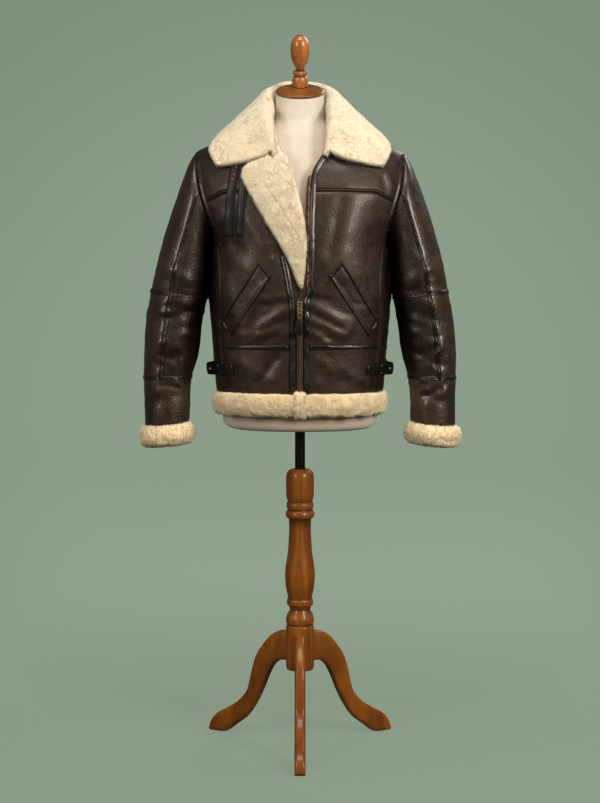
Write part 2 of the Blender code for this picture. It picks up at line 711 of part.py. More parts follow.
def cuff_fur(side, tag):
    """The wool band round the wrist, fuller in its middle than at its edges."""
    places = even(WRIST, WRIST + 0.94, CUFF_ROWS)

    def face(out, swelling):
        def point(u, v):
            turn, place = along(ROUND_TURNS, u), along(places, v)
            return sleeve_skin(turn, place, side, out + swelling * swell(v, 0.55))[0]
        return point

    outer, inner = face(3.0 * MM, 10.0 * MM), face(-6.0 * MM, -2.5 * MM)
    slab(f"cuff_fur_{tag}", len(ROUND_TURNS) - 1, CUFF_ROWS, outer, inner, "wool", closed=True)


def sleeve(side, tag):
    sleeve_piece(f"sleeve_upper_outer_{tag}", side, OUTER_TURNS, UPPER_PLACES)
    sleeve_piece(f"sleeve_upper_under_{tag}", side, UNDER_TURNS, UPPER_PLACES)
    sleeve_piece(f"sleeve_lower_outer_{tag}", side, OUTER_TURNS, LOWER_PLACES)
    sleeve_piece(f"sleeve_lower_under_{tag}", side, UNDER_TURNS, LOWER_PLACES)
    sleeve_piece(f"sleeve_wrist_{tag}", side, ROUND_TURNS, WRIST_PLACES, closed=True)
    cuff_fur(side, tag)


# Hem wool ---------------------------------------------------------------------------------------

HEM_FUR_ROWS = 4


def hem_fur(name, columns, turn_at):
    levels = even(HEM_FUR_Z, HEM_Z, HEM_FUR_ROWS)

    def face(out, swelling):
        def point(u, v):
            z = along(levels, v)
            return body_skin(turn_at(u, z), z, out + swelling * swell(v, 0.55))[0]
        return point

    slab(name, columns, HEM_FUR_ROWS, face(3.0 * MM, 8.0 * MM), face(-5.0 * MM, -1.5 * MM), "wool")


def hem_furs():
    for side, tag in ((1, "l"), (-1, "r")):
        def front(u, z, side=side):
            return side * between(body_turn(0.0098, z), side_turn(HEM_Z), u)
        hem_fur(f"hem_fur_front_{tag}", 9, front)

    def back(u, z):
        turn = between(side_turn(HEM_Z), 360 - side_turn(HEM_Z), u)
        return turn if turn <= 180 else turn - 360
    hem_fur("hem_fur_back", 18, back)

    def tab(u, z):
        return between(body_turn(-0.0094, z), body_turn(0.0094, z), u)
    hem_fur("zip_fur_tab", 2, tab)


# Collar and lapel -------------------------------------------------------------------------------

def clear_of_body(point, need):
    """The point, moved out of the body's skin until it keeps this distance from it."""
    def measure(p):
        ring = body_section(min(p.z, NECKLINE_Z))
        depth = ring["front"] if p.y < 0 else ring["back"]
        return (abs(p.x) / ring["half_width"]) ** ring["power"] + (abs(p.y) / depth) ** ring["power"] - 1.0

    need -= max(point.z - NECKLINE_Z, 0.0)
    for _ in range(4):
        if need <= 0.0:
            return point
        step = 0.0005
        value = measure(point)
        slope = Vector([
            (measure(point + Vector([step if i == axis else 0.0 for i in range(3)])) - value) / step
            for axis in range(3)
        ])
        distance = value / slope.length
        if distance >= need:
            return point
        point = point + slope.normalized() * (need - distance)
    return point


COLLAR_STAND = [0.0, 0.5]
COLLAR_ROLL = [180.0, 135.0, 95.0, 60.0]
COLLAR_LEAF = [0.2, 0.4, 0.6, 0.8, 1.0]


def collar_section(place):
    """The collar's middle line from the neck seam, over the roll and down to the leaf's edge."""
    def corner(name):
        return Vector([smooth_read(COLLAR_ROWS, "place", f"{name}_{axis}", place) for axis in "xyz"])

    base, top, edge = corner("base"), corner("top"), corner("edge")
    out_way = Vector((edge.x - top.x, edge.y - top.y, 0)).normalized()
    up_way = Vector((0, 0, 1))
    radius = smooth_read(COLLAR_ROWS, "place", "roll", place)
    pivot = top + out_way * radius
    line = [base.lerp(top, t) for t in COLLAR_STAND]
    for turn in COLLAR_ROLL:
        angle = math.radians(turn)
        line.append(pivot + (out_way * math.cos(angle) + up_way * math.sin(angle)) * radius)
    start = line[-1]
    bow = (up_way + out_way * 0.6).normalized() * smooth_read(COLLAR_ROWS, "place", "bow", place)
    line += [start.lerp(edge, t) + bow * swell(t, 0.8) for t in COLLAR_LEAF]
    return [clear_of_body(point, COLLAR_WALL / 2 + COLLAR_REST) for point in line]


def collar(side, tag):
    last = len(COLLAR) - 1
    columns = 15
    sections = [collar_section(last * i / columns) for i in range(columns + 1)]
    rows = len(sections[0]) - 1

    def middle(u, v):
        return mirrored(sections[round(u * columns)][round(v * rows)], side)

    def normal(u, v):
        i, j = round(u * columns), round(v * rows)
        wide = sections[min(i + 1, columns)][j] - sections[max(i - 1, 0)][j]
        high = sections[i][min(j + 1, rows)] - sections[i][max(j - 1, 0)]
        if i == 0:
            wide = Vector((1, 0, 0))
            high.x = 0.0
        return mirrored(wide.cross(high).normalized(), side)

    def half(v):
        """Half the wall, thinner at the neck seam and at the leaf's edge."""
        fullness = swell(0.5 * v + 0.25 if v < 0.5 else 0.5 + 0.8 * (v - 0.5), 0.7)
        return COLLAR_WALL / 2 * (0.62 + 0.38 * fullness)

    def outer(u, v):
        return middle(u, v) - normal(u, v) * half(v)

    def inner(u, v):
        return middle(u, v) + normal(u, v) * half(v)

    slab(f"collar_{tag}", columns, rows, outer, inner, "wool")


LAPEL_ROLL = 1.2 * MM        # how far the turned-back front stands past the edge that it hides
LAPEL = rows_of(
    ("fold_z", "edge"),
    (0.999, (-0.0020, 0.995)),
    (1.026, (-0.0130, 1.016)),
    (1.052, (-0.0270, 1.047)),
    (1.082, (-0.0420, 1.080)),
    (1.117, (-0.0620, 1.112)),
    (1.149, (-0.0820, 1.144)),
    (1.182, (-0.1010, 1.180)),
    (1.214, (-0.1215, 1.218)),
    (1.238, (-0.1180, 1.232)),
    (1.2650, (-0.1050, 1.2400)),
)


def lapel():
    """The wearer's right front turned back on itself, lying on the chest and yoke."""
    rows = len(LAPEL) - 1

    def spot(u, v):
        row = LAPEL[round(v * rows)]
        fold = Vector((smooth_read(FOLD_EDGE, "z", "x", row["fold_z"]) + LAPEL_ROLL, row["fold_z"]))
        return fold.lerp(Vector(row["edge"]), u)

    def rise(u, v):
        """The turned-back part stands a little off the chest near its fold."""
        return (1.0 - u) ** 2 * 4.0 * MM * min(v * 4.0, 1.0)

    def outer(u, v):
        x, z = spot(u, v)
        round_off = 2.0 * MM * (u ** 6 + (1 - u) ** 6)
        return front_skin(x, z, LIFT + rise(u, v) + LAPEL_WALL - round_off)[0]

    def inner(u, v):
        x, z = spot(u, v)
        return front_skin(x, z, LIFT + rise(u, v) * 0.5)[0]

    slab("front_lapel_r", 8, rows, outer, inner, "wool", trim=0.0)


# Tapes, straps and pockets ----------------------------------------------------------------------

def strip(name, path, half_width, look="tape", lift=LIFT, wall=TAPE_WALL, skin=front_skin):
    """A flat strip along a path of (x, z) points on the front, its width across the path."""
    points = [Vector(point) for point in path]

    def across(place):
        run = points[min(place + 1, len(points) - 1)] - points[max(place - 1, 0)]
        return Vector((run.y, -run.x)).normalized()

    def face(height):
        def point(u, v):
            place = round(v * (len(points) - 1))
            spot = points[place] + across(place) * between(-half_width, half_width, u)
            return skin(spot.x, spot.y, height)[0]
        return point

    return slab(name, 2, len(points) - 1, face(lift + wall), face(lift), look, trim=0.0)


def band(name, columns, u_range, spot, half_height, look="tape", lift=LIFT, wall=TAPE_WALL):
    """A level band round the body; spot(u) gives its turn and level."""
    low, high = u_range

    def face(height):
        def point(u, v):
            turn, z = spot(between(low, high, u))
            return body_skin(turn, z + between(-half_height, half_height, v), height)[0]
        return point

    return slab(name, columns, 2, face(lift + wall), face(lift), look, trim=0.0)


def waist_tapes():
    half = 5.5 * MM
    for side, tag in ((1, "l"), (-1, "r")):
        first = body_turn(0.0195 if side > 0 else 0.0238, WAIST_Z)
        last = body_turn(smooth_read(SIDE_SEAM, "z", "x", WAIST_Z) - 6.0 * MM, WAIST_Z)

        def spot(u, side=side, first=first, last=last):
            return side * between(first, last, u), WAIST_Z
        band(f"waist_tape_{tag}", 11, (0.0, 1.0), spot, half)

    def back(u):
        edge = side_turn(WAIST_Z)
        turn = between(180 - edge, 180 + edge, u)
        return (turn if turn <= 180 else turn - 360), WAIST_Z
    band("waist_tape_back", 14, (0.0, 1.0), back, half)


def side_seam_tapes():
    half = 4.5 * MM
    levels = [0.790, 0.8015, 0.826, 0.8505, WAIST_Z, 0.905, 0.936, 0.966, 0.998, 1.030, 1.062, 1.080]
    for side, tag in ((1, "l"), (-1, "r")):
        path = [(side * smooth_read(SIDE_SEAM, "z", "x", z), z) for z in levels]
        strip(f"side_seam_tape_{tag}", path, half)


def sleeve_strip(name, side, turns, places, lift=LIFT, wall=TAPE_WALL, closed=False):
    """A strip between rows of sleeve turns, one row for each place."""
    columns = len(turns[0]) - 1

    def face(height):
        def point(u, v):
            row = round(v * (len(places) - 1))
            return sleeve_skin(turns[row][round(u * columns)], places[row], side, height)[0]
        return point

    return slab(name, columns, len(places) - 1, face(lift + wall), face(lift), "tape", closed, trim=0.0)


def turn_for(width, place):
    """The half turn that spans this half width at the sleeve's front seam."""
    here = sleeve_base(SEAM_TURN, place)
    return 2.0 * width / (sleeve_base(SEAM_TURN + 2.0, place) - here).length


def sleeve_tapes(side, tag):
    """The tape down the front seam, sewn over the tapes round the elbow and forearm seams."""
    half = 4.5 * MM
    places = [0.45] + UPPER_PLACES[2:] + LOWER_PLACES[1:-1] + [FOREARM + 0.05]
    rows = [[SEAM_TURN - turn_for(half, p), SEAM_TURN, SEAM_TURN + turn_for(half, p)] for p in places]
    front = sleeve_strip(f"sleeve_tapes_{tag}", side, rows, places, LIFT + 0.4 * MM, TAPE_WALL + 0.3 * MM)
    rings = []
    for name, middle, spread in (("elbow", ELBOW, 0.10), ("forearm", FOREARM, 0.11)):
        levels = [middle - spread, middle + spread]
        rings.append(sleeve_strip(f"{name}_ring_{tag}", side, [ROUND_TURNS] * 2, levels, closed=True))
    joined(front, rings)


def armhole_tape(side, tag):
    """The tape round the armhole's front, on the body's side of the seam."""
    turns = [20, 40, 60, 80, 100, 120]
    half = 4.0 * MM

    def face(height):
        def point(u, v):
            turn, z = armhole_spot(turns[round(v * (len(turns) - 1))])
            inward = between(1.0 * MM, 1.0 * MM + 2 * half, u)
            x = body_base(turn, z).x - inward
            return mirrored(body_skin(body_turn(x, z), z, height)[0], side)
        return point

    slab(f"armhole_tape_{tag}", 2, len(turns) - 1, face(LIFT + TAPE_WALL), face(LIFT), "tape", trim=0.0)


def bindings():
    """The black leather bindings down the two front edges."""
    levels = [z for z in HEM_LEVELS + CHEST_LEVELS[1:]] + YOKE_LEVELS[1:3]
    inset, half = 0.9 * MM, 5.6 * MM
    left = [(smooth_read(FREE_EDGE, "z", "x", z) + inset + half, z) for z in levels]
    strip("front_binding_l", left, half, wall=2.2 * MM)
    low = [z for z in levels if z < 0.97] + [0.984]
    right = [(smooth_read(FOLD_EDGE, "z", "x", min(z, 0.966)) - inset - 7.0 * MM, z) for z in low]
    strip("front_binding_r", right, 7.0 * MM, wall=2.2 * MM)


def pockets():
    """The slanting welt rectangle of each hand pocket, raised on the chest."""
    upper, inner, lower, outer_corner = (Vector(POCKET[n]) for n in ("upper", "inner", "lower", "outer"))
    rows = 11
    for side, tag in ((1, "l"), (-1, "r")):
        def face(height, side=side):
            def point(u, v):
                spot = inner.lerp(upper, u).lerp(lower.lerp(outer_corner, u), v)
                return mirrored(front_skin(spot.x, spot.y, height)[0], 1) if side > 0 else \
                    front_skin(-spot.x, spot.y, height)[0]
            return point
        slab(f"pocket_welt_{tag}", 3, rows, face(LIFT + 2.0 * MM), face(LIFT), "leather", trim=0.0)


THROAT_STRAPS = rows_of(
    ("name", "half_width", "path"),
    ("throat_strap_outer", 0.0062,
     ((-0.137, 1.236), (-0.140, 1.222), (-0.1445, 1.208), (-0.148, 1.194), (-0.1505, 1.176),
      (-0.152, 1.157), (-0.153, 1.139), (-0.1535, 1.122), (-0.1535, 1.106))),
    ("throat_strap_inner", 0.0058,
     ((-0.1275, 1.203), (-0.1275, 1.190), (-0.1275, 1.174), (-0.128, 1.157), (-0.1285, 1.139),
      (-0.1285, 1.122), (-0.1285, 1.106))),
)


def throat_straps():
    for row in THROAT_STRAPS:
        strip(row["name"], row["path"], row["half_width"], lift=1.2 * MM, wall=STRAP_WALL)


ADJUSTER_Z = 0.823
ADJUSTER_HALF = 9.0 * MM
LOBE_REACH, LOBE_TURN, LOBE_SPREAD = 12.0 * MM, 84.0, 8.5


def side_adjusters():
    """The strap at each side of the waist piece, its loose end standing out as a lobe."""
    turns = [58, 64, 70, 76, 82, 88, 94, 100, 106, 112, 118]
    for side, tag in ((1, "l"), (-1, "r")):
        def face(height, side=side):
            def point(u, v):
                turn = along(turns, u)
                lobe = LOBE_REACH * math.exp(-(((turn - LOBE_TURN) / LOBE_SPREAD) ** 2))
                z = ADJUSTER_Z + between(-ADJUSTER_HALF, ADJUSTER_HALF, v)
                return body_skin(side * turn, z, height + lobe)[0]
            return point
        over_tape = LIFT + 1.8 * MM
        outer, inner = face(over_tape + STRAP_WALL), face(over_tape)
        slab(f"side_adjuster_{tag}", len(turns) - 1, 2, outer, inner, "tape", trim=0.0)


# Zip --------------------------------------------------------------------------------------------

def block(name, low, high, look, body="form", bevel=0.0):
    """A box between two corners, its long edges rounded by a bevel."""
    low, high = Vector(low), Vector(high)
    mesh = bmesh.new()
    bmesh.ops.create_cube(mesh, size=1.0)
    bmesh.ops.scale(mesh, vec=high - low, verts=mesh.verts)
    bmesh.ops.translate(mesh, vec=(low + high) / 2, verts=mesh.verts)
    if bevel:
        bmesh.ops.bevel(mesh, geom=mesh.edges[:], offset=bevel, segments=1, profile=0.5,
                        affect="EDGES", material=-1)
    return SHOP.keep(mesh, name, look, body)


def rod(name, centre, radius, length, look, body, steps=12):
    """A round bar along X."""
    mesh = bmesh.new()
    bmesh.ops.create_cone(mesh, cap_ends=True, segments=steps, radius1=radius, radius2=radius, depth=length)
    bmesh.ops.rotate(mesh, cent=Vector(), matrix=Matrix.Rotation(math.radians(90), 3, "Y"), verts=mesh.verts)
    bmesh.ops.translate(mesh, vec=centre, verts=mesh.verts)
    return SHOP.keep(mesh, name, look, body)


def zip_parts():
    middle = -0.0002
    levels = [0.779, 0.8015, 0.826, 0.8505, WAIST_Z, 0.905, 0.936, 0.9422]
    half = 6.0 * MM

    def face(depth):
        def point(u, v):
            z = levels[round(v * (len(levels) - 1))]
            x = middle + between(-half, half, u)
            front = body_base(0.0, z)
            return Vector((x, front.y - depth, z))
        return point

    slab("zip_chain", 1, len(levels) - 1, face(-1.2 * MM), face(-4.6 * MM), "zip", trim=0.0)

    upper = [0.992, 1.030, 1.062, 1.092, 1.12175, 1.1568, 1.194, 1.2293]

    def tape_face(depth):
        def point(u, v):
            z = upper[round(v * (len(upper) - 1))]
            x = smooth_read(FREE_EDGE, "z", "x", z) - SEAM_GAP - between(5.5 * MM, 0.0, u)
            spot, normal = front_skin(x, z)
            return spot - normal * depth
        return point

    slab("zip_tape_upper", 1, len(upper) - 1, tape_face(2.4 * MM), tape_face(4.6 * MM), "zip", trim=0.0)

    axis = PULL_AXIS
    face_y = -0.1505
    slider = block("zip_slider", (axis.x - 5.8 * MM, face_y, 0.9425), (axis.x + 5.8 * MM, -0.1395, 0.9640),
                   "brass", bevel=1.2 * MM)
    foot = block("bail_foot", (axis.x - 1.8 * MM, axis.y - 1.5 * MM, axis.z - 7.0 * MM),
                 (axis.x + 1.8 * MM, face_y + 2.0 * MM, axis.z - 5.2 * MM), "brass")
    reach = block("bail_reach", (axis.x - 1.8 * MM, axis.y - 3.1 * MM, axis.z - 7.0 * MM),
                  (axis.x + 1.8 * MM, axis.y - 1.4 * MM, axis.z + 3.1 * MM), "brass")
    roof = block("bail_roof", (axis.x - 1.8 * MM, axis.y - 3.1 * MM, axis.z + 1.5 * MM),
                 (axis.x + 1.8 * MM, face_y + 2.0 * MM, axis.z + 3.1 * MM), "brass")
    rear = block("bail_rear", (axis.x - 1.8 * MM, face_y + 0.4 * MM, 0.9600),
                 (axis.x + 1.8 * MM, face_y + 2.0 * MM, axis.z + 3.1 * MM), "brass")
    joined(slider, [foot, reach, roof, rear])


# The laced tab's half outline from its top, in millimetres
PULL_OUTLINE = [
    (0.0, 0.0), (3.2, -0.6), (5.0, -4.0), (7.0, -13.0), (9.2, -23.0), (8.8, -29.5), (5.6, -33.6), (0.0, -35.0),
]


def puller():
    """The puller hangs from a round bar through the slider's bail; a leather tab is laced to it."""
    axis = PULL_AXIS
    bar = rod("zip_puller", axis, 0.9 * MM, 9.6 * MM, "brass", "puller")
    arms = [
        block(f"puller_arm_{i}", (axis.x + side * 3.9 * MM - 0.9 * MM, axis.y - 0.8 * MM, axis.z - 12.5 * MM),
              (axis.x + side * 3.9 * MM + 0.9 * MM, axis.y + 0.8 * MM, axis.z + 0.5 * MM), "brass", "puller")
        for i, side in enumerate((-1, 1))
    ]
    plate = block("puller_plate", (axis.x - 4.8 * MM, axis.y - 0.8 * MM, axis.z - 34.0 * MM),
                  (axis.x + 4.8 * MM, axis.y + 0.8 * MM, axis.z - 10.5 * MM), "brass", "puller")
    joined(bar, arms + [plate])

    mesh = bmesh.new()
    mirror = [(-x, z) for x, z in PULL_OUTLINE[-2:0:-1]]
    corner = axis + Vector((-2.0, -1.5, -34.3)) * MM
    ring = [mesh.verts.new(corner + Vector((x, 0.0, z)) * MM) for x, z in PULL_OUTLINE + mirror]
    face = mesh.faces.new(ring)
    grown = bmesh.ops.extrude_face_region(mesh, geom=[face])
    moved = [item for item in grown["geom"] if isinstance(item, bmesh.types.BMVert)]
    bmesh.ops.translate(mesh, vec=(0, 3.0 * MM, 0), verts=moved)
    SHOP.keep(mesh, "pull_leather", "leather", "puller")


# Dress form and stand ---------------------------------------------------------------------------

def form_point(turn, z):
    row = {name: smooth_read(FORM, "z", name, z) for name in ("half_width", "front", "back")}
    power = 2.0 / FORM_POWER
    sine, cosine = math.sin(math.radians(turn)), math.cos(math.radians(turn))
    depth = row["front"] if cosine > 0 else row["back"]
    y = -depth * signed_power(cosine, power)
    share = min(max((z - NECK_LEAN_Z) / (NECK_TOP_Z - NECK_LEAN_Z), 0.0), 1.0)
    lean = share * math.tan(math.radians(NECK_CAP_TILT))
    return Vector((row["half_width"] * signed_power(sine, power), y, z + y * lean))


def form_body():
    """The padded torso, closed top and foot, with a socket for the pole's head."""
    levels = [row["z"] for row in FORM]
    steps = 24
    mesh = bmesh.new()
    rings = []
    for z in levels:
        made = bmesh.ops.create_circle(mesh, segments=steps, radius=1.0)["verts"]
        for i, vertex in enumerate(made):
            vertex.co = form_point(360.0 * i / steps, z)
        rings.append(made)
    for low, high in zip(rings, rings[1:]):
        for i in range(steps):
            j = (i + 1) % steps
            mesh.faces.new((low[i], low[j], high[j], high[i]))
    mesh.faces.new(list(reversed(rings[0])))
    mesh.faces.new(rings[-1])
    made = SHOP.keep(mesh, "form_body", "cloth")
    data = bmesh.new()
    bmesh.ops.create_cone(data, cap_ends=True, segments=TURNED_STEPS, radius1=POLE_RADIUS + POLE_FIT,
                          radius2=POLE_RADIUS + POLE_FIT, depth=0.10)
    bmesh.ops.translate(data, vec=(0, 0, POLE_HEAD_Z + POLE_FIT - 0.05), verts=data.verts)
    cutter = SHOP.keep(data, "socket_cutter", "steel")
    cut = made.modifiers.new("Socket", "BOOLEAN")
    cut.operation = "DIFFERENCE"
    cut.object = cutter
    cutter.hide_render = True
    cutter.display_type = "WIRE"


def leg(number):
    """One sabre leg: a flat sawn outline, as thick as the board it is cut from."""
    angle = math.radians(-90.0 + number * 360.0 / LEG_COUNT)
    mesh = bmesh.new()
    outline = list(LEG_TOP) + list(LEG_UNDER)
    ring = [mesh.verts.new((radius, -LEG_WIDTH / 2, height)) for radius, height in outline]
    face = mesh.faces.new(ring)
    grown = bmesh.ops.extrude_face_region(mesh, geom=[face])
    moved = [item for item in grown["geom"] if isinstance(item, bmesh.types.BMVert)]
    bmesh.ops.translate(mesh, vec=(0, LEG_WIDTH, 0), verts=moved)
    bmesh.ops.rotate(mesh, cent=Vector(), matrix=Matrix.Rotation(angle, 3, "Z"), verts=mesh.verts)
    SHOP.keep(mesh, f"leg_{number + 1}", "wood", "stand", smooth_angle=30.0)


def stand():
    bore = POLE_RADIUS + POLE_FIT
    profile = ((0.0, BORE_FOOT_Z), (bore, BORE_FOOT_Z), (bore, COLUMN_TOP_Z - 0.001)) + COLUMN_PROFILE
    turned("column", profile, "wood", "stand")
    pole = ((0.0, POLE_HEAD_Z), (POLE_RADIUS, POLE_HEAD_Z), (POLE_RADIUS, POLE_FOOT_Z), (0.0, POLE_FOOT_Z))
    turned("pole", pole, "steel", "pole")
    for number in range(LEG_COUNT):
        leg(number)


def neck_block():
    turned("neck_cap", CAP_PROFILE, "wood", "form", NECK_CAP_PLACE, NECK_CAP_TILT, steps=24)
    turned("finial", FINIAL_PROFILE, "wood", "form", NECK_CAP_PLACE, NECK_CAP_TILT, steps=16)


def build():
    for side, tag in ((1, "l"), (-1, "r")):
        front_pieces(side, tag)
        side_panel(side, tag)
        sleeve(side, tag)
        collar(side, tag)
        sleeve_tapes(side, tag)
        armhole_tape(side, tag)
    back_pieces()
    hem_furs()
    lapel()
    waist_tapes()
    side_seam_tapes()
    bindings()
    pockets()
    throat_straps()
    side_adjusters()
    zip_parts()
    puller()
    form_body()
    neck_block()
    stand()


build()
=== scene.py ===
"""Looks of a shearling flight coat on a dress form with a turned wooden tripod stand.

Metres, +Z up, the coat's front faces -Y. The skin of the coat is worked out from the same tables as
the frame's solids, about the stand's column axis, and each finished piece is then moved to stand
round AXIS_Y as the frame does.
"""

import math

import bmesh
import bpy
import numpy as np
from mathutils import Matrix, Vector


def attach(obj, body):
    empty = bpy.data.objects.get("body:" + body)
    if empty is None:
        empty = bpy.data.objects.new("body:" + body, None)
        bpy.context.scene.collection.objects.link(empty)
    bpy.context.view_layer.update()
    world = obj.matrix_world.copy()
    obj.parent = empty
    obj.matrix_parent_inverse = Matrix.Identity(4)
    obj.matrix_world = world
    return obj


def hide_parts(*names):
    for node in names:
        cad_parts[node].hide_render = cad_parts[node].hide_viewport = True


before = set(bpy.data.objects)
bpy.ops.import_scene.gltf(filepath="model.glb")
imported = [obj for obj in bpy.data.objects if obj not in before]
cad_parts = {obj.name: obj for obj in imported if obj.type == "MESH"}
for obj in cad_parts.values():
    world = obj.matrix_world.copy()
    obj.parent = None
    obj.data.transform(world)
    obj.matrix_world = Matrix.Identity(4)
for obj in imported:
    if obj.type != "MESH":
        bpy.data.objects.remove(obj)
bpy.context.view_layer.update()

MM = 0.001
AXIS_Y = 0.0405
SHIFT = np.array((0.0, AXIS_Y, 0.0))

# Levels of the coat's seams, from the floor
NECKLINE_Z = 1.345
SHOULDER_Z = 1.283
ARMPIT_Z = 1.068
WAIST_Z = 0.875
HEM_Z = 0.777
SIDE = 90.0                 # turn of the shoulder seam; 0 is the centre front, 180 the centre back
SEAM_TURN = 80.0            # the sleeve's two long seams, from its outer line
SIDE_SEAM_TURN = 120.0
YOKE_TURN = 80.0            # the armhole turn where the yoke ends
ELBOW, FOREARM, WRIST = 6.0, 10.0, 12.0

HIDE = 7.6 * MM             # leather with the wool on its inner side


# Tables ----

def table(names, *rows):
    """Named columns of numbers; the first one is the key that the others are read by."""
    columns = np.array(rows, float).T
    made = dict(zip(names.split(), columns))
    made["key"] = columns[0]
    return made


BODY = table(
    "z half_width front back power",
    (0.700, 0.175, 0.135, 0.131, 2.45),
    (0.740, 0.177, 0.136, 0.132, 2.45),
    (0.777, 0.179, 0.137, 0.133, 2.45),
    (0.830, 0.1835, 0.139, 0.131, 2.50),
    (0.875, 0.1865, 0.142, 0.130, 2.50),
    (0.950, 0.1925, 0.147, 0.133, 2.50),
    (1.010, 0.1925, 0.150, 0.138, 2.45),
    (1.068, 0.1905, 0.151, 0.142, 2.40),
    (1.100, 0.1960, 0.150, 0.143, 2.35),
    (1.150, 0.2220, 0.145, 0.142, 2.30),
    (1.200, 0.2380, 0.136, 0.138, 2.30),
    (1.245, 0.2360, 0.123, 0.129, 2.25),
    (1.283, 0.2225, 0.108, 0.117, 2.20),
    (1.318, 0.1450, 0.092, 0.099, 2.15),
    (1.345, 0.0830, 0.079, 0.081, 2.10),
)
ARMHOLE = table(
    "turn x",
    (0, 0.2225), (20, 0.2222), (40, 0.2185), (60, 0.2145), (80, 0.2080),
    (100, 0.1965), (120, 0.1860), (140, 0.1820), (160, 0.1860), (180, 0.1905),
)
SIDE_SEAM = table(
    "z x",
    (0.700, 0.158), (0.777, 0.160), (0.837, 0.163), (0.893, 0.168), (0.947, 0.170),
    (1.000, 0.166), (1.060, 0.171), (1.12175, 0.186),
)
FOLD_EDGE = table(
    "z x",
    (0.700, -0.0072), (0.966, -0.0072), (0.984, -0.002), (0.998, 0.003), (1.036, 0.008),
    (1.086, 0.0105), (1.122, 0.008), (1.167, -0.001), (1.221, -0.013), (1.258, -0.027),
    (1.279, -0.040), (1.345, -0.060),
)
FREE_EDGE = table(
    "z x",
    (0.700, 0.0068), (0.966, 0.0068), (0.984, 0.0125), (1.000, 0.0165), (1.070, 0.0180),
    (1.147, 0.0190), (1.209, 0.0215), (1.236, 0.0270), (1.256, 0.0380), (1.279, 0.0510),
    (1.345, 0.0620),
)
SLEEVE = table(
    "place outer_x outer_z inner_x inner_z front back centre_y",
    (0, 0.2225, 1.283, 0.1905, 1.068, 0.082, 0.082, 0.000),
    (1, 0.2380, 1.256, 0.1968, 1.048, 0.084, 0.083, -0.001),
    (2, 0.2545, 1.213, 0.1978, 1.031, 0.086, 0.083, -0.002),
    (3, 0.2730, 1.158, 0.1985, 1.016, 0.085, 0.082, -0.004),
    (4, 0.2900, 1.104, 0.1988, 1.002, 0.083, 0.080, -0.006),
    (5, 0.3050, 1.048, 0.1993, 0.989, 0.080, 0.077, -0.008),
    (6, 0.3170, 0.990, 0.2005, 0.976, 0.077, 0.074, -0.010),
    (7, 0.3245, 0.950, 0.2062, 0.942, 0.074, 0.071, -0.012),
    (8, 0.3305, 0.905, 0.2140, 0.900, 0.070, 0.068, -0.013),
    (9, 0.3330, 0.855, 0.2240, 0.853, 0.066, 0.064, -0.014),
    (10, 0.3340, 0.806, 0.2335, 0.808, 0.061, 0.059, -0.015),
    (11, 0.3335, 0.768, 0.2355, 0.772, 0.058, 0.056, -0.016),
    (12, 0.3325, 0.703, 0.2365, 0.711, 0.056, 0.054, -0.017),
    (13, 0.3320, 0.656, 0.2370, 0.664, 0.055, 0.053, -0.018),
)
SLEEVE_POWER = 2.15

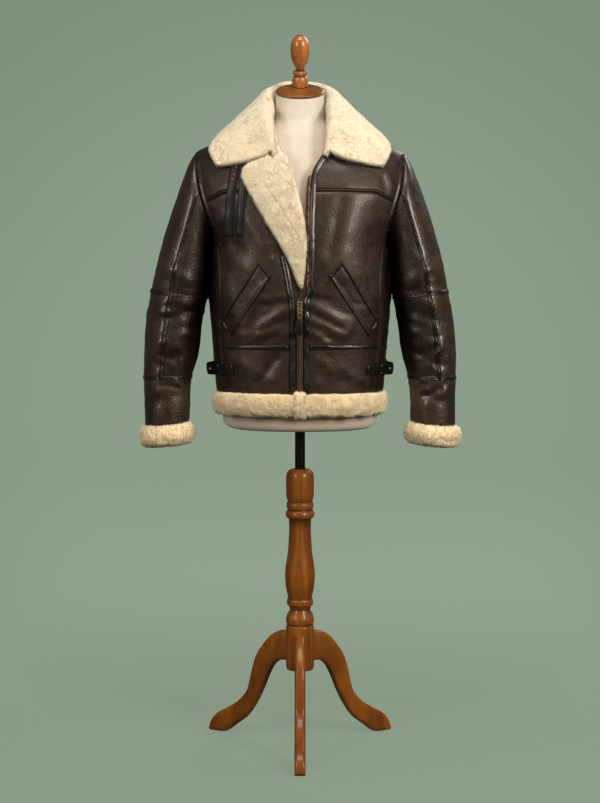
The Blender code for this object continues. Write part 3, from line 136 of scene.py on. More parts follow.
# Creases in millimetres: two ends (x, z) seen from the front, then the height and half width of the swell.
# Each group says where it is: -1 front, 1 back; and on which sleeve alone: 1 left, -1 right, 0 both.
# The large folds come first, then the finer ones, placed in the leather alone.
BODY_CREASES = (
    (-1, 0, (
        (30, 960, 95, 915, 3.5, 12), (22, 915, 55, 885, 3, 10), (-30, 955, -85, 905, 3.5, 12),
        (-150, 1010, -120, 900, 3, 14), (85, 1175, 60, 1075, -3.5, 14), (-150, 1170, -135, 1080, -3, 14),
        (40, 850, 140, 800, 2.5, 14), (-140, 850, -60, 810, 2.5, 14),
    )),
    (1, 0, (
        (120, 1160, 80, 1000, 3.5, 20), (-110, 1150, -75, 980, 3.5, 20), (-120, 930, 20, 900, 3, 14),
        (30, 955, 130, 910, 3, 14),
    )),
    (-1, 0, (
        (32.5, 960, 104, 929, 1.4, 7), (20, 950, 85, 914, -2.2, 6), (20, 935, 91, 899, 4.2, 9),
        (20, 918, 62, 894, -1.6, 4), (20, 909, 53, 881, 1.5, 4), (12, 977.5, 61, 971.5, -2, 6),
        (-34.5, 950, -85.3, 921, 1.6, 7), (-30, 963, -77, 962, -2.1, 7), (-32.5, 933, -80, 910, -1.6, 5),
        (-32.5, 920, -101.5, 890, 2.2, 7), (-27, 912, -52, 890, 1.2, 4), (-38, 980, -72, 976, 1.1, 5),
        (-50.8, 1058, -26.4, 984, 3.8, 7), (-77, 1004, -112, 937, 2.2, 9), (-62, 1010, -50, 972, -1.2, 8),
        (104, 1195, 94, 1045, 5.6, 46), (62, 1130, 46, 1050, 1.2, 10), (184, 1230, 192, 1205, 1.4, 6),
        (170, 1228, 178, 1195, -1.4, 6), (116, 1236, 112, 1200, -1.1, 8),
        (-111.7, 1145, -77, 1084, 1.7, 11), (-160, 1088, -120, 1079, -1.9, 9),
        (-140, 1062, -116, 1040, 1.1, 10), (-193, 1233, -186, 1214, 1.2, 6), (88, 1000, 120, 950, -0.9, 6),
        (112, 940, 104, 900, 1.1, 7), (108, 968, 146, 966, -1.1, 4), (102, 953, 140, 955, 1, 4),
        (24, 862, 34, 800, 1.9, 10), (60, 852, 96, 806, -1.2, 9), (150, 850, 128, 806, 1, 8),
        (-28.4, 853, -65, 788, 2.5, 9), (-51, 852, -79, 812, -2.1, 7), (-88, 860, -82, 842, 1.2, 7),
        (-120, 862, -104, 800, 1.1, 10),
    )),
    (1, 0, (
        (60, 1190, 20, 1120, -1.1, 12), (-150, 1120, -110, 1020, 1.2, 12), (150, 1060, 110, 960, -1.2, 12),
        (-60, 960, -130, 930, -1.4, 8), (20, 925, 90, 895, 1.6, 8), (-20, 980, 70, 962, 1.2, 8),
        (-140, 860, -60, 820, 1.4, 12), (60, 860, 140, 810, 1.4, 12),
    )),
)
SLEEVE_CREASES = (
    (-1, 0, (
        (225, 1010, 290, 1045, 4, 14), (220, 950, 300, 925, -3.5, 12), (225, 905, 275, 885, 4, 12),
        (295, 880, 325, 850, 3.5, 11), (240, 860, 300, 835, -3, 11), (245, 775, 320, 755, -3.5, 12),
    )),
    (1, 0, (
        (215, 1000, 295, 1010, 4, 14), (220, 930, 310, 900, 4, 14), (235, 860, 320, 840, -3, 12),
    )),
    (-1, 1, (
        (280, 966, 276, 903, 1.8, 10), (268, 896, 294, 893, -2.1, 5.5), (298, 890, 294, 868, 2.5, 4.5),
        (294, 868, 277, 848, 2.9, 4.5), (277, 848, 275, 836, 2.7, 4.5), (275, 836, 289, 820, 2.2, 4.5),
        (284, 876, 268, 862, -2.1, 6), (304, 862, 292, 838, -1.8, 6), (228, 912, 256, 908, 1.5, 4.5),
        (232, 898, 258, 889, -1.7, 4), (230, 884, 254, 874, 1.8, 4.5), (232, 866, 252, 858, -1.5, 4),
        (232, 852, 256, 846, 1.4, 4.5), (222, 938, 250, 930, 1.4, 5), (282, 803, 272, 782, 2.1, 5.5),
        (272, 782, 243.6, 771, 2, 5.5), (238, 792, 262, 795, -1.7, 4.5), (260, 770, 294, 783, -2.7, 5.5),
        (294, 783, 314, 804, -2.4, 5.5), (274, 754, 309, 783, 2.4, 9), (262, 748, 266, 712, 1.3, 8),
    )),
    (-1, -1, (
        (288, 965, 291, 884, 1.8, 10), (306, 941, 272, 936, -2, 5), (240, 962, 220, 956, 1.4, 4.2),
        (244, 952, 222, 946, -1.3, 4), (243, 926, 232, 914, -1.8, 4.5), (250, 934, 238, 920, 1.7, 4.5),
        (250, 903, 228, 900, 1.7, 4.5), (248, 889, 226, 884, -1.5, 4.2), (260, 876, 240, 857, 2.5, 4.5),
        (240, 857, 254, 842, 2.1, 4.5), (254, 866, 262, 846, -2.1, 5), (300, 858, 274, 850, -1.8, 5),
        (296, 846, 270, 836, 1.7, 5.5), (262, 803, 240, 782, 2.4, 6), (288, 793, 252, 786, -2.5, 5.5),
        (300, 780, 270, 762, 1.5, 7), (252, 774, 247, 734, 2.2, 8),
    )),
    (-1, 0, (
        (232, 1075, 262, 1040, 1.7, 10), (220, 1120, 246, 1070, -1.7, 9), (224, 984, 252, 978, 1.1, 5),
    )),
    (1, 0, (
        (240, 800, 320, 770, 1.5, 10), (222, 975, 300, 955, -1.7, 9), (220, 1080, 260, 1030, 1.5, 12),
    )),
)


# Numbers read from the tables ----

def read(rows, column, at):
    """A column of a table at values of its key, on a smooth curve through the rows."""
    keys, values = rows["key"], rows[column]
    last = len(keys) - 1
    at = np.clip(np.asarray(at, float), keys[0], keys[-1])
    here = np.clip(np.searchsorted(keys, at, side="left") - 1, 0, last - 1)

    def slope(i):
        low, high = np.maximum(i - 1, 0), np.minimum(i + 1, last)
        return (values[high] - values[low]) / (keys[high] - keys[low])

    span = keys[here + 1] - keys[here]
    t = (at - keys[here]) / span
    start = values[here] * (1 + 2 * t) * (1 - t) ** 2 + span * slope(here) * t * (1 - t) ** 2
    end = values[here + 1] * (3 - 2 * t) * t * t + span * slope(here + 1) * t * t * (t - 1)
    return start + end


def between(low, high, part):
    return low + (high - low) * part


def signed_power(value, power):
    return np.sign(value) * np.abs(value) ** power


def points_of(x, y, z):
    return np.stack(np.broadcast_arrays(x, y, z), axis=-1).astype(float)


def unit(vectors):
    return vectors / np.maximum(np.linalg.norm(vectors, axis=-1, keepdims=True), 1e-12)


def swell(t, sharpness):
    """A hump that is 0 at both ends of 0..1 and 1 in the middle."""
    return np.sin(np.pi * np.clip(t, 0.0, 1.0)).clip(0.0) ** sharpness


def bell(distance, width, power=2):
    """1 at no distance, falling away to nothing beyond the width; a higher power flattens its top."""
    return np.exp(-((distance / width) ** power))


def step_up(low, high, value):
    """0 below low, 1 above high, and a smooth rise between."""
    t = np.clip((value - low) / (high - low), 0.0, 1.0)
    return t * t * (3 - 2 * t)


def lumps(points, size, seed):
    """Smooth noise from -1 to 1 whose lumps are about size across; size may be one number an axis."""
    scaled = points / np.asarray(size, float) + seed * 17.31
    cell = np.floor(scaled)
    part = scaled - cell
    part = part * part * (3 - 2 * part)
    total = 0.0
    for corner in range(8):
        offset = np.array([corner & 1, corner >> 1 & 1, corner >> 2 & 1])
        place = cell + offset
        spin = np.sin(place @ np.array((127.1, 311.7, 74.7)) + seed * 1.7) * 43758.5453
        weight = np.prod(np.where(offset == 1, part, 1 - part), axis=-1)
        total = total + weight * ((spin - np.floor(spin)) * 2 - 1)
    return total


# The body's skin ----

def body_base(turn, z):
    """The smooth skin, before its folds."""
    power = 2.0 / read(BODY, "power", z)
    sine, cosine = np.sin(np.radians(turn)), np.cos(np.radians(turn))
    depth = np.where(cosine > 0, read(BODY, "front", z), read(BODY, "back", z))
    x = read(BODY, "half_width", z) * signed_power(sine, power)
    return points_of(x, -depth * signed_power(cosine, power), z)


def body_normal(turn, z):
    round_way = body_base(turn + 0.6, z) - body_base(turn - 0.6, z)
    up_way = body_base(turn, np.minimum(z + 0.002, NECKLINE_Z)) - body_base(turn, z - 0.002)
    return unit(np.cross(round_way, up_way))


def body_turn(x, z):
    """The turn at which the front skin stands at this x and level."""
    share = np.minimum(np.abs(x) / read(BODY, "half_width", z), 1.0) ** (read(BODY, "power", z) / 2.0)
    return np.copysign(np.degrees(np.arcsin(share)), x)


def off_line(flat, x0, z0, x1, z1):
    """How far along a line each point comes, from 0 to 1, and its distance from the line."""
    start, run = np.array((x0, z0)), np.array((x1 - x0, z1 - z0))
    part = np.clip(((flat - start) @ run) / (run @ run), 0.0, 1.0)
    return part, np.linalg.norm(flat - start - run * part[..., None], axis=-1)


def crease_height(points, normals, creases, side=0):
    """How far the creases of both sides, and of this one, push each point out."""
    total = np.zeros(points.shape[:-1])
    for facing, only, rows in creases:
        if only in (0, side):
            for *ends, height, width in np.array(rows) * MM:
                distance = off_line(points[..., ::2], *ends)[1]
                total += (facing * normals[..., 1]).clip(0.0) * height * bell(distance, width)
    return total


def hide_height(points, rumple):
    """The leather's own slow waves and short wrinkles."""
    slow = lumps(points, 0.055, 1) * 1.1 * MM + lumps(points, 0.024, 2) * 0.55 * MM
    across = lumps(points, (0.030, 0.030, 0.011), 3)
    return slow + rumple * np.where(across > 0, across, across * 0.4) * 1.6 * MM


def body_rumple(z):
    """Short wrinkles gather over the waist seam and at the chest's foot."""
    return 0.25 + 0.75 * bell(z - 0.915, 0.040)


def body_skin(turn, z, lift=0.0):
    """The creased leather, moved out by lift, with its normal and its height over the smooth skin."""
    base, normal = body_base(turn, z), body_normal(turn, z)
    height = crease_height(base, normal, BODY_CREASES) + hide_height(base, body_rumple(z))
    height = height + 3.5 * MM * under_arm(z) * np.abs(normal[..., 0]) ** 3
    return base + normal * (height + lift)[..., None], normal, height


def under_arm(z):
    """Where the sleeve rests against the coat's side, both fill out until they meet."""
    return step_up(0.950, 0.985, z) * step_up(1.100, 1.060, z)


def front_skin(x, z, lift):
    return body_skin(body_turn(x, z), z, lift)


def armhole_level(turn):
    middle, half = (SHOULDER_Z + ARMPIT_Z) / 2, (SHOULDER_Z - ARMPIT_Z) / 2
    return middle + half * np.cos(np.radians(turn))


def armhole_spot(turn):
    """The body turn and level of an armhole point, for the wearer's left side."""
    near = np.where(turn > 180, 360 - turn, turn)
    z = armhole_level(near)
    found = body_turn(read(ARMHOLE, "x", near), z)
    found = np.where((near < 0.01) | (near > 179.99), SIDE, found)
    return np.where(turn > 180, 180.0 - found, found), z


def armhole_turn_at(z):
    middle, half = (SHOULDER_Z + ARMPIT_Z) / 2, (SHOULDER_Z - ARMPIT_Z) / 2
    return armhole_spot(np.degrees(np.arccos(np.clip((z - middle) / half, -1.0, 1.0))))[0]


def side_turn(z):
    """The outer edge of a front piece: the side seam, the armhole, then the shoulder seam."""
    seam = body_turn(read(SIDE_SEAM, "x", z), z)
    seam = np.where(z >= armhole_level(SIDE_SEAM_TURN), armhole_turn_at(z), seam)
    return np.where(z >= SHOULDER_Z, SIDE, seam)


def edge_turn(side, z):
    return body_turn(read(FREE_EDGE if side > 0 else FOLD_EDGE, "x", z), z) * side


# The sleeves' skin ----

def sleeve_ring(turn, place):
    power = 2.0 / SLEEVE_POWER
    sine, cosine = np.sin(np.radians(turn)), np.cos(np.radians(turn))
    row = {name: read(SLEEVE, name, place) for name in SLEEVE if name not in ("key", "place")}
    across = signed_power(cosine, power) / 2
    x = (row["outer_x"] + row["inner_x"]) / 2 + (row["outer_x"] - row["inner_x"]) * across
    z = (row["outer_z"] + row["inner_z"]) / 2 + (row["outer_z"] - row["inner_z"]) * across
    depth = np.where(sine > 0, row["front"], row["back"])
    return points_of(x, row["centre_y"] - depth * signed_power(sine, power), z)


def sleeve_base(turn, place):
    turn, place = np.broadcast_arrays(np.asarray(turn, float), np.asarray(place, float))
    point = sleeve_ring(turn, place)
    shift = body_base(*armhole_spot(turn % 360)) - sleeve_ring(turn, np.zeros_like(place))
    return point + shift * ((1.0 - np.minimum(place, 1.0)) ** 2)[..., None]


def sleeve_normal(turn, place):
    below, above = np.minimum(place + 0.08, 13.0), np.maximum(place - 0.08, 0.0)
    down_way = sleeve_base(turn, below) - sleeve_base(turn, above)
    round_way = sleeve_base(turn + 2.0, place) - sleeve_base(turn - 2.0, place)
    normal = unit(np.cross(round_way, down_way))
    outwards = sleeve_base(turn, place) - sleeve_base(turn + 180.0, place)
    facing = np.sign((normal * outwards).sum(-1, keepdims=True))
    return normal * np.where(facing == 0, 1, facing)


def sleeve_rumple(place):
    """Short wrinkles gather round the elbow and above the wrist."""
    elbow = bell(place - 6.6, 1.6)
    return 0.30 + 1.0 * elbow + 0.55 * bell(place - 10.4, 0.8)


def sleeve_skin(turn, place, side, lift=0.0):
    turn, place = np.broadcast_arrays(np.asarray(turn, float), np.asarray(place, float))
    base, normal = sleeve_base(turn, place), sleeve_normal(turn, place)
    fade = np.minimum(place / 1.5, 1.0)
    height = crease_height(base, normal, SLEEVE_CREASES, side)
    height = (height + hide_height(base * (side, 1, 1), sleeve_rumple(place))) * fade
    full = 4.0 * MM * under_arm(base[..., 2]) + 5.5 * MM * bell(base[..., 2] - 0.855, 0.045)
    height = height + full * np.maximum(-normal[..., 0], 0.0) ** 3 * fade
    flip = np.array((side, 1.0, 1.0))
    return (base + normal * (height + lift)[..., None]) * flip, normal * flip, height


# Shaders ----

class Wire:
    """A socket of a finish, so that shader maths reads as a formula."""

    def __init__(self, finish, socket):
        self.finish, self.socket = finish, socket

    def maths(self, operation, *others):
        return self.finish.node("ShaderNodeMath", {"operation": operation}, self, *others)

    def __add__(self, other):
        return self.maths("ADD", other)

    def __sub__(self, other):
        return self.maths("SUBTRACT", other)

    def __rsub__(self, other):
        return self.finish.node("ShaderNodeMath", {"operation": "SUBTRACT"}, other, self)

    def __mul__(self, other):
        return self.maths("MULTIPLY", other)

    def __truediv__(self, other):
        return self.maths("DIVIDE", other)

    def __pow__(self, other):
        return self.maths("POWER", other)

    __radd__ = __add__
    __rmul__ = __mul__

    def at_least(self, other):
        return self.maths("MAXIMUM", other)

    def at_most(self, other):
        return self.maths("MINIMUM", other)

    def ramp(self, low, high):
        """0 at low and 1 at high, held within 0..1."""
        settings = {"interpolation_type": "SMOOTHSTEP"}
        return self.finish.node("ShaderNodeMapRange", settings, self, low, high, 0.0, 1.0)


class Finish:
    """A material: its constants are set on the shader, and what varies is wired up by dress()."""

    def __init__(self, name, **constants):
        self.made = bpy.data.materials.new(name)
        self.made.use_nodes = True
        self.tree = self.made.node_tree
        self.shader = self.tree.nodes["Principled BSDF"]
        for socket, value in constants.items():
            self.shader.inputs[socket.replace("_", " ")].default_value = value
        self.spot = self.node("ShaderNodeTexCoord", {}, output="Object")

    def node(self, kind, settings, *inputs, output=0, **named):
        made = self.tree.nodes.new(kind)
        for key, value in settings.items():
            setattr(made, key, value)
        for place, value in [*enumerate(inputs), *named.items()]:
            socket = made.inputs[place.replace("_", " ") if isinstance(place, str) else place]
            if isinstance(value, Wire):
                self.tree.links.new(value.socket, socket)
            elif value is not None:
                socket.default_value = value
        return Wire(self, made.outputs[output])

    def stretched(self, scale):
        return self.node("ShaderNodeMapping", {}, self.spot, Scale=scale)

    def noise(self, scale, detail, **more):
        named = {"Vector": self.spot, "Roughness": 0.5, "Distortion": 0.0, **more}
        return self.node("ShaderNodeTexNoise", {}, Scale=scale, Detail=detail, **named)

    def cells(self, scale, feature="F1", at=None):
        return self.node("ShaderNodeTexVoronoi", {"feature": feature}, Vector=at or self.spot, Scale=scale)

    def attribute(self, name):
        return self.node("ShaderNodeAttribute", {"attribute_name": name}, output="Fac")

    def blend(self, part, first, second, how="MIX"):
        made = self.tree.nodes.new("ShaderNodeMix")
        made.data_type, made.blend_type = "RGBA", how
        for place, value in ((0, part), (6, first), (7, second)):
            if isinstance(value, Wire):
                self.tree.links.new(value.socket, made.inputs[place])
            else:
                made.inputs[place].default_value = (*value, 1.0) if isinstance(value, tuple) else value
        return Wire(self, made.outputs[2])

    def dress(self, **wires):
        for socket, wire in wires.items():
            self.tree.links.new(wire.socket, self.shader.inputs[socket.replace("_", " ")])

    def paint_shade_where(self, share, colour):
        """Mixes in a flat, lightless finish of this colour by the share: painted shade for what lies in deep
        folds, seams and grooves.
        """
        flat = self.tree.nodes.new("ShaderNodeBsdfPrincipled")
        flat.inputs["Base Color"].default_value = (*colour, 1.0)
        flat.inputs["Roughness"].default_value = 1.0
        flat.inputs["Specular IOR Level"].default_value = 0.0
        mixed = self.node("ShaderNodeMixShader", {}, share, Wire(self, self.shader.outputs[0]),
                          Wire(self, flat.outputs[0]))
        self.tree.links.new(mixed.socket, self.tree.nodes["Material Output"].inputs["Surface"])

    def bump(self, height, strength, distance):
        bump = self.node("ShaderNodeBump", {}, Strength=strength, Distance=distance, Height=height)
        self.dress(Normal=bump)


def leather(name, dark, light, rub, grain, gloss=(0.34, 0.48), coat=0.10, pebble=380.0, speckle=0.10):
    """Finished sheepskin: pebbled grain, cloudy dye, a lighter rub (in places a painted highlight) where the
    hide stands proud, and painted shade where marked.
    """
    finish = Finish(name, Coat_Weight=coat, Coat_Roughness=0.16, Specular_IOR_Level=0.42)
    finish.shader.inputs["Specular Tint"].default_value = (1.0, 0.84, 0.69, 1.0)
    clouds = finish.noise(9.0, 3.0)
    mottle = finish.noise(55.0, 4.0, Roughness=0.6)
    rub_and_highlight = finish.attribute("wear")
    pits = finish.cells(pebble, "SMOOTH_F1", at=finish.stretched((1.0, 1.0, 0.8)))
    broken = finish.cells(pebble * 0.42)
    fine = finish.noise(pebble * 3.2, 3.0)
    colour = finish.blend(clouds.ramp(0.35, 0.68), dark, light)
    colour = finish.blend(mottle.ramp(0.50, 0.75) * 0.20, colour, rub)
    colour = finish.blend((rub_and_highlight * (0.25 + 0.7 * mottle)).at_most(1.0).at_least(0.0) * 0.45, colour, rub)
    colour = finish.blend(pits.ramp(0.45, 0.90) * 0.7, colour, tuple(c * 0.3 for c in dark))
    rough = gloss[0] + (gloss[1] - gloss[0]) * mottle.ramp(0.3, 0.7) + speckle * pits - 0.05 * rub_and_highlight
    finish.dress(Base_Color=colour, Roughness=rough)
    # Painted shade: near-black, mixed in by the leather's shade attribute.
    finish.paint_shade_where(finish.attribute("soil"), (0.0032, 0.0022, 0.0014))
    height = (1.0 - pits) * grain + broken * 0.2 * grain + fine * 0.22 + mottle * 0.32
    finish.bump(height, 0.65, 1.2 * MM)
    return finish.made


def wool(name, root, tip, shade):
    """Dense fleece: cream tips that turn golden and darker down between the locks, as painted shade."""
    finish = Finish(name, Roughness=0.95, Sheen_Weight=0.35, Sheen_Roughness=0.5, Specular_IOR_Level=0.15)
    finish.shader.inputs["Sheen Tint"].default_value = (1.0, 0.92, 0.76, 1.0)
    height = finish.attribute("tip")
    clouds = finish.noise(16.0, 3.0)
    curl = finish.noise(240.0, 3.0, Distortion=0.6)
    colour = finish.blend(height.ramp(0.0, 0.9), root, tip)
    colour = finish.blend(clouds.ramp(0.45, 0.75) * 0.22, colour, shade, "MULTIPLY")
    colour = finish.blend(curl.ramp(0.45, 0.8) * 0.08, colour, shade, "MULTIPLY")
    finish.dress(Base_Color=colour)
    finish.bump(curl + finish.noise(600.0, 2.0) * 0.5, 0.25, 1.0 * MM)
    return finish.made


def woven(name, dark, light, thread, soil=None):
    """Closely knitted or woven cloth, turned to a painted shade's colour where its own attribute says."""
    finish = Finish(name, Roughness=0.85, Sheen_Weight=0.25, Specular_IOR_Level=0.25)
    cloud = finish.noise(14.0, 3.0)
    weave = finish.cells(thread, "F1", at=finish.stretched((1.0, 1.0, 0.6)))
    colour = finish.blend(cloud.ramp(0.35, 0.7), dark, light)
    if soil:
        colour = finish.blend(finish.attribute("soil"), colour, soil)
    finish.dress(Base_Color=colour)
    finish.bump(1.0 - weave, 0.25, 0.25 * MM)
    return finish.made


def tinted(colour, painted_lightness):
    """The colour made lighter (a painted highlight) or darker (painted shade) by the painted lightness, and
    greyer the further that is from 1.
    """
    return tuple(c * painted_lightness + 0.03 * abs(painted_lightness - 1.0) for c in colour)


def varnished(name, grain_scale, coat=0.35, painted_lightness=1.0):
    """Honey-brown hardwood under varnish, its grain along the piece and darker in its grooves."""
    finish = Finish(name, Coat_Weight=coat, Coat_Roughness=0.18, Specular_IOR_Level=0.30)
    finish.shader.inputs["Specular Tint"].default_value = (1.0, 0.80, 0.58, 1.0)
    run = finish.stretched(grain_scale)
    broad = finish.noise(1.0, 4.0, Vector=run, Roughness=0.6, Distortion=0.8)
    fine = finish.noise(6.0, 5.0, Vector=run, Roughness=0.7)
    age = finish.noise(7.0, 2.0)
    groove = finish.attribute("groove")
    colour = finish.blend(broad.ramp(0.32, 0.68), tinted((0.31, 0.098, 0.0085), painted_lightness),
                          tinted((0.165, 0.044, 0.0035), painted_lightness))
    colour = finish.blend(fine.ramp(0.50, 0.75) * 0.45, colour, (0.090, 0.030, 0.006))
    colour = finish.blend(age.ramp(0.5, 0.8) * 0.35, colour, (0.13, 0.038, 0.008))
    colour = finish.blend(groove * 0.85, colour, (0.030, 0.009, 0.003))
    finish.dress(Base_Color=colour, Roughness=0.34 + 0.18 * fine)
    finish.bump(fine * 0.6 + broad * 0.4, 0.12, 0.4 * MM)
    return finish.made


def metal(name, colour, dull, tarnish, roughness):
    finish = Finish(name, Metallic=1.0)
    patch = finish.noise(180.0, 4.0)
    scratch = finish.noise(900.0, 2.0, Vector=finish.stretched((1.0, 1.0, 0.12)))
    finish.dress(Base_Color=finish.blend(patch.ramp(0.42, 0.7) * tarnish, colour, dull),
                 Roughness=roughness + 0.22 * patch + 0.08 * scratch)
    finish.bump(scratch, 0.08, 0.1 * MM)
    return finish.made


def thread(name, colour):
    finish = Finish(name, Roughness=0.6)
    twist = finish.noise(2500.0, 1.0)
    finish.dress(Base_Color=finish.blend(twist.ramp(0.4, 0.6) * 0.6, colour, tuple(c * 0.4 for c in colour)))
    finish.bump(twist, 0.3, 0.1 * MM)
    return finish.made


LOOKS = {
    "body": leather("dark_brown_leather", (0.0122, 0.0066, 0.0042), (0.0230, 0.0124, 0.0078),
                    (0.077, 0.047, 0.032), 0.60),
    # The side panels' leather: darker and redder than the body's; the darkness is painted shade between arm
    # and body.
    "side": leather("shaded_red_brown_leather", (0.0080, 0.0036, 0.0025), (0.018, 0.0075, 0.0048),
                    (0.050, 0.024, 0.016), 0.6, gloss=(0.38, 0.50), coat=0.04),
    "sleeve": leather("grained_sleeve_leather", (0.0150, 0.0084, 0.0052), (0.029, 0.0158, 0.0096),
                      (0.085, 0.052, 0.037), 1.15, gloss=(0.27, 0.38), coat=0.34, pebble=340.0, speckle=0.22),
    "under": leather("shaded_sleeve_leather", (0.0062, 0.0034, 0.0025), (0.0125, 0.0064, 0.0045),
                     (0.050, 0.030, 0.022), 0.9, gloss=(0.36, 0.48), coat=0.05, pebble=270.0, speckle=0.15),
    "tape": leather("black_leather_tape", (0.0040, 0.0034, 0.0027), (0.0078, 0.0066, 0.0052),
                    (0.040, 0.033, 0.025), 0.30, gloss=(0.22, 0.34), coat=0.22, pebble=700.0),
    "binding": leather("binding_leather", (0.0046, 0.0036, 0.0028), (0.0090, 0.0070, 0.0054),
                       (0.045, 0.036, 0.028), 0.40, gloss=(0.20, 0.30), coat=0.30, pebble=480.0,
                       speckle=0.16),
    "dull_tape": leather("dull_leather_tape", (0.0040, 0.0034, 0.0027), (0.0070, 0.0060, 0.0048),
                         (0.030, 0.025, 0.020), 0.30, gloss=(0.36, 0.46), coat=0.04, pebble=700.0),
    "wool": wool("cream_wool", (0.66, 0.49, 0.28), (0.94, 0.85, 0.66), (0.94, 0.87, 0.73)),
    "gold_wool": wool("golden_wool", (0.80, 0.54, 0.26), (1.0, 0.86, 0.58), (0.94, 0.86, 0.70)),
    # The fringe of lining wool at the open edge, a darker copy of the cream wool: painted shade.
    "tan_wool": wool("tan_wool", (0.20, 0.10, 0.05), (0.56, 0.38, 0.22), (0.90, 0.80, 0.64)),
    "lining": wool("lining_wool", (0.70, 0.56, 0.35), (0.86, 0.75, 0.54), (0.88, 0.78, 0.60)),
    # The form cloth turns warm brown where its attribute says: painted shade.
    "form": woven("cream_form_cloth", (0.60, 0.52, 0.42), (0.68, 0.60, 0.49), 900.0, soil=(0.62, 0.42, 0.27)),
    "zip": woven("brown_zip_tape", (0.044, 0.020, 0.012), (0.075, 0.036, 0.022), 1400.0),
    "upright_wood": varnished("varnished_wood_upright", (38.0, 38.0, 3.0)),
    # The finial's wood is a lighter copy of the upright's, a painted highlight; the cap's is a darker copy,
    # painted shade.
    "finial_wood": varnished("varnished_wood_finial", (38.0, 38.0, 3.0), coat=0.8, painted_lightness=1.6),
    "cap_wood": varnished("varnished_wood_cap", (12.0, 12.0, 7.0), coat=0.45, painted_lightness=0.76),
    "leg_wood": varnished("varnished_wood_legs", (12.0, 12.0, 7.0)),
    "brass": metal("aged_brass", (0.36, 0.265, 0.13), (0.12, 0.082, 0.042), 0.8, 0.26),
    "bronze": metal("bronze_teeth", (0.16, 0.085, 0.045), (0.05, 0.028, 0.018), 0.7, 0.32),
    # Near-black for what stands only in shade: the straps' painted shadow and the slider's slots.
    "suede": woven("black_suede", (0.0016, 0.0015, 0.0013), (0.0028, 0.0026, 0.0022), 1600.0),
    "black_metal": metal("black_metal", (0.045, 0.044, 0.042), (0.012, 0.012, 0.012), 0.6, 0.26),
    "pewter": metal("worn_pewter", (0.30, 0.29, 0.27), (0.08, 0.078, 0.072), 0.6, 0.30),
    "steel": metal("polished_steel", (0.045, 0.043, 0.041), (0.020, 0.019, 0.018), 0.4, 0.10),
    "black_thread": thread("black_thread", (0.020, 0.018, 0.017)),
}


# Making pieces ----

SIDES = ((1, "l"), (-1, "r"))
WELD = 0.01 * MM


def piece(name, mesh, look, body="form", replaces=(), back=None):
    """A finished piece: its mesh in place, its finish, and the body that it rides on."""
    made = bpy.data.objects.new(name, mesh)
    bpy.context.scene.collection.objects.link(made)
    mesh.name = name
    for each in filter(None, (look, back)):
        mesh.materials.append(LOOKS[each])
    mesh.shade_smooth()
    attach(made, body)
    if replaces:
        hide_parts(*replaces)
    return made


def mesh_of(bm, sharp=None):
    """The bmesh as a mesh moved to the frame's axis."""
    bmesh.ops.translate(bm, vec=Vector(SHIFT), verts=bm.verts[:])
    data = bpy.data.meshes.new("mesh")
    bm.to_mesh(data)
    bm.free()
    data.shade_smooth()
    if sharp is not None:
        data.set_sharp_from_angle(angle=math.radians(sharp))
    return data


def grid_spot(vertex, rows, columns):
    """The row and column of a vertex of a flat grid that is 1 wide and high."""
    return round((vertex.co.y + 0.5) * (rows - 1)), round((vertex.co.x + 0.5) * (columns - 1))


FINE = (1.2 * MM, 2.6 * MM, 4.5 * MM)


def shares(length, step, edge=FINE):
    """Grid lines about a step apart over a length, and finer beside its ends, as shares of it."""
    count = max(int(round(length / step)), 2)
    places = set(np.round(np.linspace(0.0, length, count + 1), 6))
    for near in edge:
        places |= {round(near, 6), round(length - near, 6)}
    return np.array(sorted(places)) / length


class Sheet:
    """A grid of points over u and v in 0..1, turned into a thin closed piece of leather lined with wool."""

    def __init__(self, columns, rows):
        self.columns, self.rows = len(columns), len(rows)
        self.u, self.v = np.meshgrid(columns, rows)

    def edge_distances(self, plain):
        """How far each point is from the four edges, measured over the skin: left, right, foot, head."""
        run_u, run_v = (run_along(plain, axis) for axis in (1, 0))
        return run_u, run_u[:, -1:] - run_u, run_v, run_v[-1:, :] - run_v

    def make(self, name, points, normals, look, values, closed):
        bm = bmesh.new()
        bmesh.ops.create_grid(bm, x_segments=self.columns - 1, y_segments=self.rows - 1, size=0.5)
        layers = [bm.verts.layers.float.new(key) for key in ("wear", "soil")]
        ways = {}
        for vertex in bm.verts:
            spot = grid_spot(vertex, self.rows, self.columns)
            vertex.co = points[spot]
            for layer, value in zip(layers, values):
                vertex[layer] = value[spot]
            ways[vertex] = Vector(normals[spot])
        bm.normal_update()
        if sum(vertex.normal.dot(way) for vertex, way in ways.items()) < 0:
            bmesh.ops.reverse_faces(bm, faces=bm.faces[:])
        if closed:
            bmesh.ops.remove_doubles(bm, verts=bm.verts[:], dist=2 * WELD)
        made = piece(name + "_leather", mesh_of(bm), look, replaces=[name], back="lining")
        wall = made.modifiers.new("Wall", "SOLIDIFY")
        wall.thickness, wall.offset, wall.use_rim = HIDE, -1.0, True
        wall.material_offset, wall.material_offset_rim = 1, 1
        return made


def run_along(points, axis=0):
    """How far each point of a line or grid is along it, measured from point to point."""
    steps = np.linalg.norm(np.diff(points, axis=axis), axis=-1)
    return np.insert(np.cumsum(steps, axis=axis), 0, 0.0, axis=axis)


def declare(made, middle, held="stretched", rests_on=("form_body",), **more):
    """Works out the diagonals of each cell of this grid of points, and nothing more: no flat size or area is
    stated. The flat size and area that a sheet is cut to, measured over this grid of its points.
    """
    a, b = middle[1:, 1:] - middle[:-1, :-1], middle[1:, :-1] - middle[:-1, 1:]


